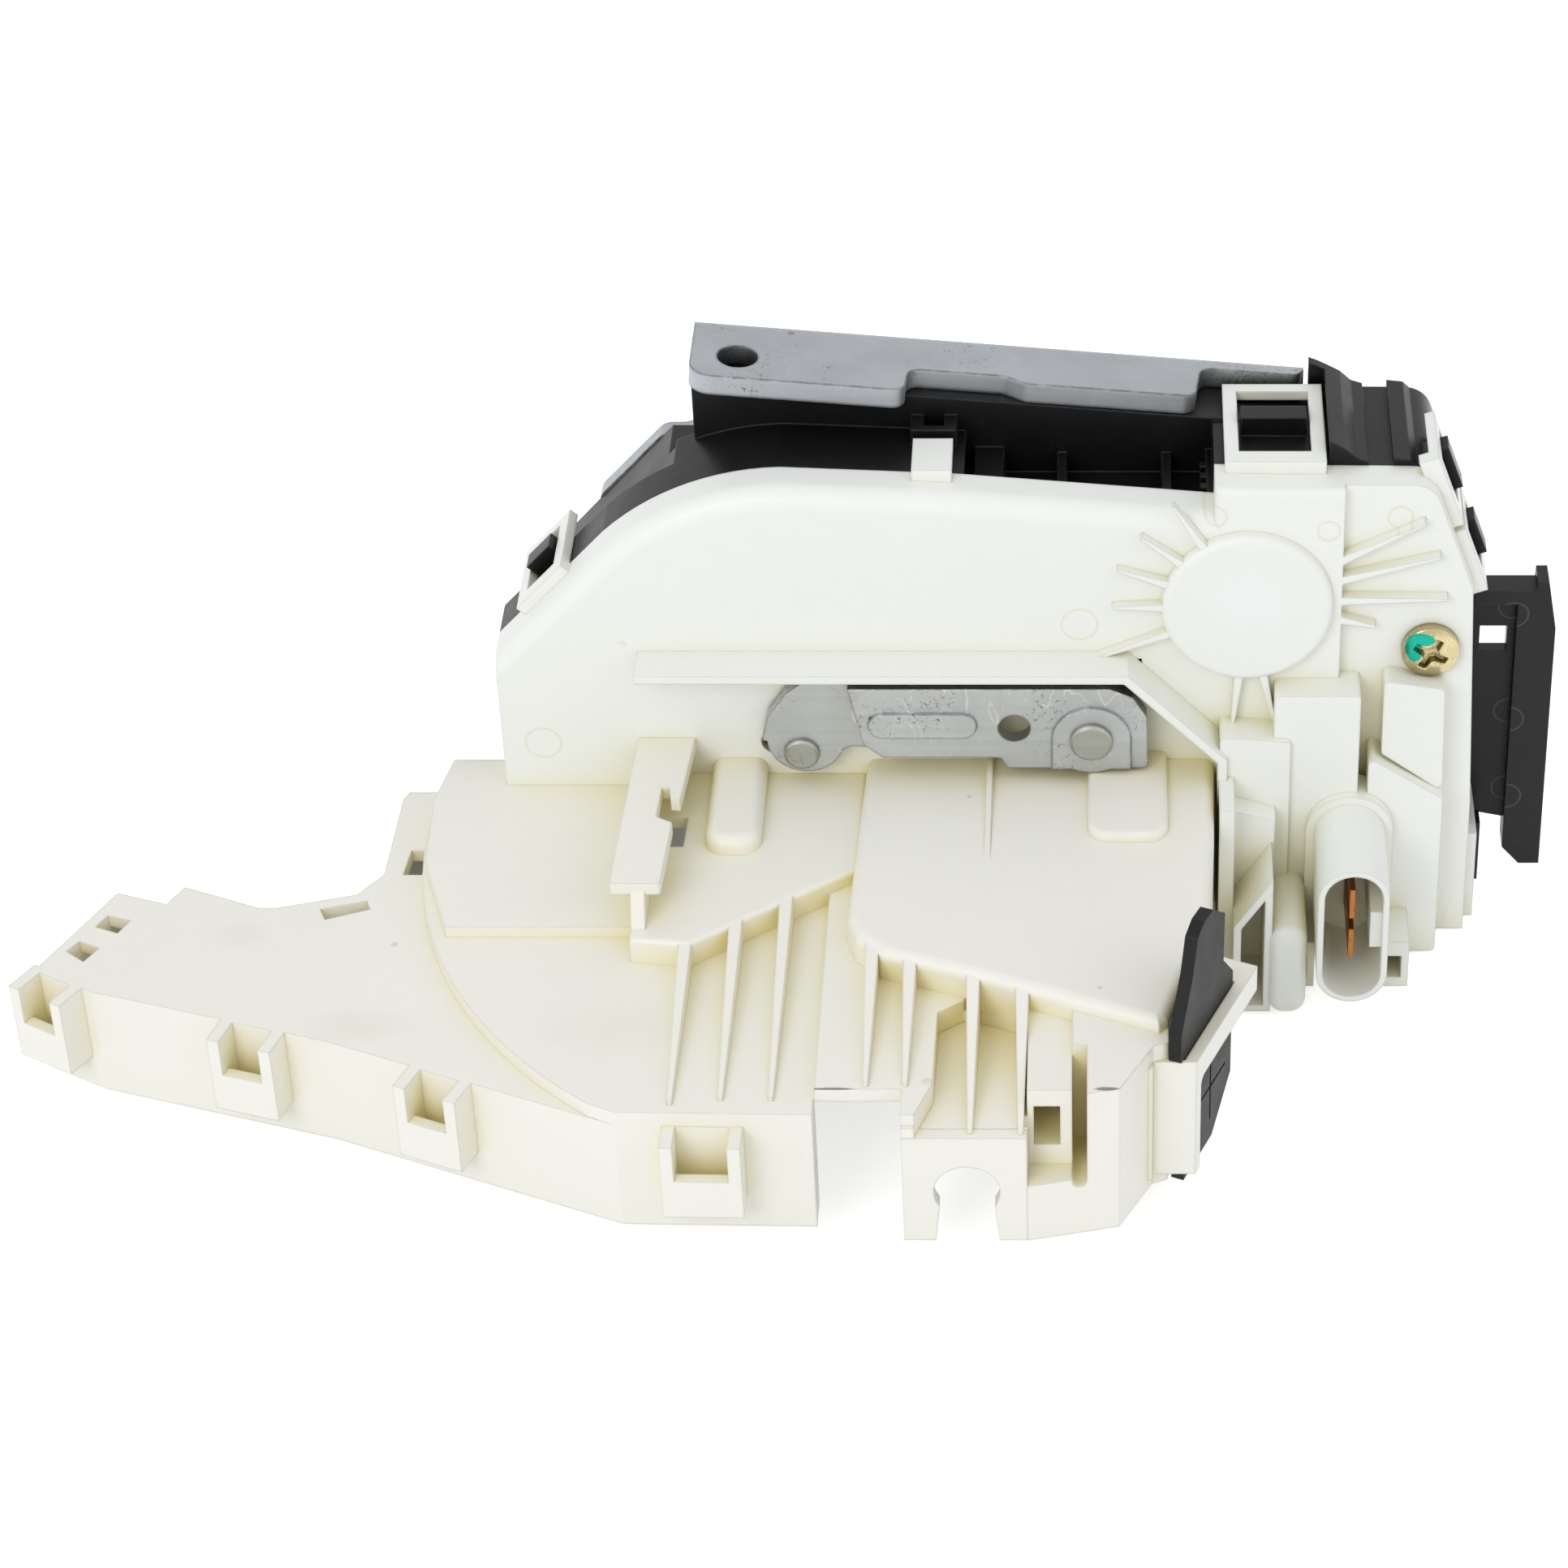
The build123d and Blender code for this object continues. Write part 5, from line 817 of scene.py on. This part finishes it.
@dataclass
class BlackHousing:
    """The black housing and its side bracket.

    Attributes:
        nodes: CAD nodes of the housing's finish.
        bracket_marks: the bracket's round moulding marks.
    """

    nodes: tuple[str, ...] = ("latch_housing", "terminal_carrier", "ajar_switch")
    bracket_marks: tuple[RoundMark, ...] = (
        RoundMark(116.7, 52.7, 2.3), RoundMark(117.0, 32.1, 2.3), RoundMark(117.4, 16.5, 2.3))

    def build(self, bench: MaterialBench, finish: Finish) -> None:
        """Dresses the housing and the bracket."""
        dress(self.nodes, bench.build(finish))
        dress(("side_bracket",), bench.build(finish, rings=self.bracket_marks, name="bracket_black"))


@dataclass
class PlainPieces:
    """Pieces that only need their finish.

    Attributes:
        finishes: finish name to the CAD nodes that wear it.
    """

    finishes: dict[str, tuple[str, ...]] = field(default_factory=lambda: {
        "seal_rubber": ("seal_plate",),
        "bumper_rubber": ("striker_bumper", "throat_liner"),
        "plate_steel": ("face_plate",),
        "latch_steel": ("catch", "pawl", "pawl_lever", "release_link", "cable_lever"),
        "pin_steel": ("plate_rivets", "catch_pin", "pawl_shaft", "link_drive_rivet", "link_guide_rivet",
                      "cable_lever_pin", "motor_shaft", "wheel_axle", "lock_pin"),
        "spring_steel": ("catch_spring", "pawl_spring"),
        "blade_copper": ("terminal_blades",),
        "worm_brass": ("worm",),
        "motor_can": ("motor_case",),
        "gear_plastic": ("worm_wheel", "lock_pinion", "lock_lever"),
        "slider_plastic": ("link_slider",),
        "screw_zinc": ("tray_screws",),
    })

    def build(self, bench: MaterialBench, finishes: dict[str, Finish]) -> None:
        """Dresses each piece with its finish."""
        for name, nodes in self.finishes.items():
            dress(nodes, bench.build(finishes[name]))


@dataclass
class CoverScrew:
    """Pan-head screw with a cross recess and a dab of marking paint.

    Attributes:
        centre: X, Y and Z of the head's seat, in millimetres.
        head_radius: radius of the head, in millimetres.
        head_height: height of the head, in millimetres.
        crown_drop: how much lower the crown is at its rim, in millimetres.
        crown_power: power of the radius by which the crown falls.
        rim_drop: depth of the rim's upper corner under the top, in millimetres.
        rim_rise: height of the rim's lower corner over the seat, in millimetres.
        rounding: share of the radius where the rim's corners begin.
        shank_radius: radius of the shank, in millimetres.
        shank_length: length of the shank with its tip, in millimetres.
        tip_height: height of the tip, in millimetres.
        tip_radius: radius at which the tip's pole is closed, in millimetres.
        recess_radius: reach of the cross from the centre, in millimetres.
        recess_depth: depth of the cross, in millimetres.
        recess_turn: turn of the cross about the screw, in radians.
        recess_rise: share by which the cross gets shallower at its ends.
        arm_half: half the width of an arm of the cross, in millimetres.
        arm_slope: width of the slope at an arm's side, in millimetres.
        end_slope: width of the slope at an arm's end, in millimetres.
        middle_radius: radius of the round pit in the middle, in millimetres.
        middle_slope: width of the slope round that pit, in millimetres.
        crown_rings: rings of points over the crown.
        turn_steps: points round each ring.
        paint: dabs of marking paint, along the left of the cross.
    """

    centre: tuple[float, float, float] = (102.2, -18.0, 56.6)
    head_radius: float = 4.55
    head_height: float = 2.6
    crown_drop: float = 0.75
    crown_power: float = 2.4
    rim_drop: float = 1.05
    rim_rise: float = 0.25
    rounding: float = 0.97
    shank_radius: float = 1.9
    shank_length: float = 14.0
    tip_height: float = 0.1
    tip_radius: float = 0.001
    recess_radius: float = 2.9
    recess_depth: float = 1.7
    recess_turn: float = 0.5
    recess_rise: float = 0.25
    arm_half: float = 0.72
    arm_slope: float = 0.2
    end_slope: float = 0.4
    middle_radius: float = 1.35
    middle_slope: float = 0.25
    crown_rings: int = 41
    turn_steps: int = 96
    paint: tuple[Dab, ...] = (
        Dab((99.5, -20.2, 57.4), (1.5, 2.5, 2.2), srgb(36, 158, 136)),
        Dab((100.9, -20.2, 59.3), (2.2, 2.5, 1.1), srgb(36, 158, 136)))

    def head(self) -> bpy.types.Object:
        """Builds the head and shank as one turned surface with a cross sunk in its top.

        The profile runs from the axis over the crown, down the rim and under the head to the tip. The
        crown's height falls with a power of the radius.

        Returns:
            The object.
        """
        turn = np.linspace(0.0, 2.0 * math.pi, self.turn_steps, endpoint=False)
        crown = np.linspace(0.0, 1.0, self.crown_rings)
        shoulder = self.head_radius * self.rounding
        radius = np.concatenate([crown * shoulder, [self.head_radius, self.head_radius, shoulder,
                                                    self.shank_radius, self.shank_radius,
                                                    self.tip_radius]])
        rise = np.concatenate([self.head_height - self.crown_drop * crown ** self.crown_power,
                               [self.head_height - self.rim_drop, self.rim_rise, 0.0, 0.0,
                                self.tip_height - self.shank_length, -self.shank_length]])
        r, a = np.meshgrid(radius, turn, indexing="ij")
        z = np.repeat(rise[:, None], len(turn), 1)
        z[:self.crown_rings] -= self.cross_depth(r, a)[:self.crown_rings]
        x0, y0, z0 = self.centre
        points = np.stack([x0 + r * np.cos(a), y0 - z, z0 + r * np.sin(a)], -1) * MM
        return grid_mesh("cover_screw_head", points[::-1], closed=True)

    def cross_depth(self, r: np.ndarray, a: np.ndarray) -> np.ndarray:
        """Depth of the cross recess at points of the head.

        Turned by the recess's own turn, a point lies in an arm where the smaller of its two
        coordinates is under the arm's half width and the larger one within the arm's reach. Clipped
        slopes close the arms at their sides and ends, and a round pit joins them in the middle. The
        depth falls with the larger coordinate.

        Args:
            r: distance of each point from the screw's axis, in millimetres.
            a: angle of each point, in radians.

        Returns:
            The depth at each point, in millimetres.
        """
        across, along = r * np.cos(a + self.recess_turn), r * np.sin(a + self.recess_turn)
        arm = np.minimum(np.abs(across), np.abs(along))
        reach = np.maximum(np.abs(across), np.abs(along))
        side = np.clip((self.arm_half - arm) / self.arm_slope, 0, 1)
        end = np.clip((self.recess_radius - reach) / self.end_slope, 0, 1)
        middle = np.clip((self.middle_radius - np.hypot(across, along)) / self.middle_slope, 0, 1)
        taper = 1 - self.recess_rise * reach / self.recess_radius
        return np.maximum(side * end, middle) * self.recess_depth * taper

    def build(self, bench: MaterialBench, finish: Finish) -> None:
        """Builds the screw in place of its CAD node.

        Args:
            bench: makes its material.
            finish: its finish.
        """
        piece = self.head()
        piece.data.materials.append(bench.build(finish, name="screw_zinc_marked", dabs=self.paint))
        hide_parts("cover_screw")
        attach(piece, "housing")
        LOG.info("built %s", piece.name)


# ------------------------------------------------------------------ studio
@dataclass(frozen=True)
class Lamp:
    """A soft square lamp.

    Attributes:
        name: its name.
        place: where it is, in metres.
        aim: the point it faces, in metres.
        size: side of the square, in metres.
        power: power in watts.
    """

    name: str
    place: tuple[float, float, float]
    size: float
    power: float
    aim: tuple[float, float, float] = (0.0, -0.04, 0.05)

    def build(self) -> None:
        """Hangs the lamp."""
        light = bpy.data.lights.new(self.name, "AREA")
        light.shape = "SQUARE"
        light.size = self.size
        light.energy = self.power
        piece = bpy.data.objects.new(self.name, light)
        piece.location = self.place
        piece.rotation_euler = (Vector(self.aim) - Vector(self.place)).to_track_quat("-Z", "Y").to_euler()
        bpy.context.scene.collection.objects.link(piece)


@dataclass
class Studio:
    """Floor, lamps, world and camera.

    Attributes:
        camera_place: place of the camera, in metres.
        pitch: how far the camera looks below the horizon, in degrees.
        lens: focal length, in millimetres.
        sensor: width of the sensor, in millimetres.
        shift: sideways shift of the sensor.
        near: distance at which the camera begins to see, in metres.
        lamps: the lamps.
        soft_colour: colour of the even light from all round.
        soft_strength: strength of that light.
        floor_half: half the side of the floor, in metres.
        floor_drop: how far the floor lies under the part, in metres.
        floor_colour: linear colour of the floor.
        floor_roughness: roughness of the floor.
        floor_glow: light that the floor adds where it is seen directly.
    """

    camera_place: tuple[float, float, float] = (0.051036, -0.587104, 0.453845)
    pitch: float = 36.7
    lens: float = 101.55
    sensor: float = 36.0
    shift: float = -0.2039
    near: float = 0.01
    lamps: tuple[Lamp, ...] = (
        Lamp("key", place=(-0.45, -1.0, 0.75), size=0.6, power=4.1),
        Lamp("fill", place=(0.9, -0.5, 0.7), size=0.8, power=0.8))
    soft_colour: Colour = (0.985, 0.992, 1.0)
    soft_strength: float = 0.78
    floor_half: float = 6.0
    floor_drop: float = 0.0002
    floor_colour: Colour = (0.9, 0.9, 0.9)
    floor_roughness: float = 0.9
    floor_glow: float = 0.65

    def camera(self) -> None:
        """Places the camera."""
        lens = bpy.data.cameras.new("camera")
        lens.lens = self.lens
        lens.sensor_width = self.sensor
        lens.shift_x = self.shift
        lens.clip_start = self.near
        piece = bpy.data.objects.new("camera", lens)
        piece.location = self.camera_place
        piece.rotation_euler = (math.radians(90.0 - self.pitch), 0.0, 0.0)
        bpy.context.scene.collection.objects.link(piece)
        bpy.context.scene.camera = piece

    def world(self) -> None:
        """Lights the scene evenly; the camera, gloss and glass see plain white."""
        world = bpy.data.worlds.new("studio")
        world.use_nodes = True
        bpy.context.scene.world = world
        graph = Graph(world.node_tree)
        world.node_tree.nodes.clear()
        soft = graph.add("ShaderNodeBackground", in_Color=(*self.soft_colour, 1.0),
                         in_Strength=self.soft_strength)
        plain = graph.add("ShaderNodeBackground", in_Color=(*WHITE, 1.0), in_Strength=1.0)
        mix = graph.add("ShaderNodeMixShader")
        for index, value in enumerate((graph.seen_directly(), soft.outputs[0], plain.outputs[0])):
            graph.link(value, mix.inputs[index])
        graph.link(mix.outputs[0], graph.add("ShaderNodeOutputWorld").inputs[0])

    def floor(self) -> None:
        """Lays a wide pale floor under the part; it keeps the part's shadow."""
        side = np.linspace(-self.floor_half, self.floor_half, 3)
        x, y = np.meshgrid(side, side, indexing="ij")
        points = np.stack([x, y, np.full_like(x, -self.floor_drop)], -1)
        piece = grid_mesh("floor", points, smooth=False)
        material = bpy.data.materials.new("floor_white")
        material.use_nodes = True
        graph = Graph(material.node_tree)
        shader = material.node_tree.nodes["Principled BSDF"]
        shader.inputs["Base Color"].default_value = (*self.floor_colour, 1.0)
        shader.inputs["Roughness"].default_value = self.floor_roughness
        shader.inputs["Emission Color"].default_value = (*WHITE, 1.0)
        glow = graph.math("MULTIPLY", graph.seen_directly(), self.floor_glow)
        graph.link(glow, shader.inputs["Emission Strength"])
        piece.data.materials.append(material)
        piece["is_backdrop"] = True

    def build(self) -> None:
        """Builds the whole studio."""
        bpy.context.scene.view_settings.view_transform = "Standard"
        self.camera()
        self.world()
        self.floor()
        for lamp in self.lamps:
            lamp.build()
        LOG.info("studio built")


def main(cad_box: tuple[Vector, Vector]) -> None:
    """Builds the scene piece by piece.

    Args:
        cad_box: lowest and highest corner of the CAD model; not used.
    """
    logging.basicConfig(level=logging.INFO, format="%(name)s: %(message)s")
    finishes = {finish.name: finish for finish in FINISHES}
    bench = MaterialBench(SurfaceEffects())
    WhiteCover().build(bench, finishes["cover_white"])
    CableTray().build(bench, finishes["tray_cream"])
    BlackHousing().build(bench, finishes["housing_black"])
    PlainPieces().build(bench, finishes)
    CoverScrew().build(bench, finishes["screw_zinc"])
    Studio().build()


if __name__ == "__main__":
    main(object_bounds())
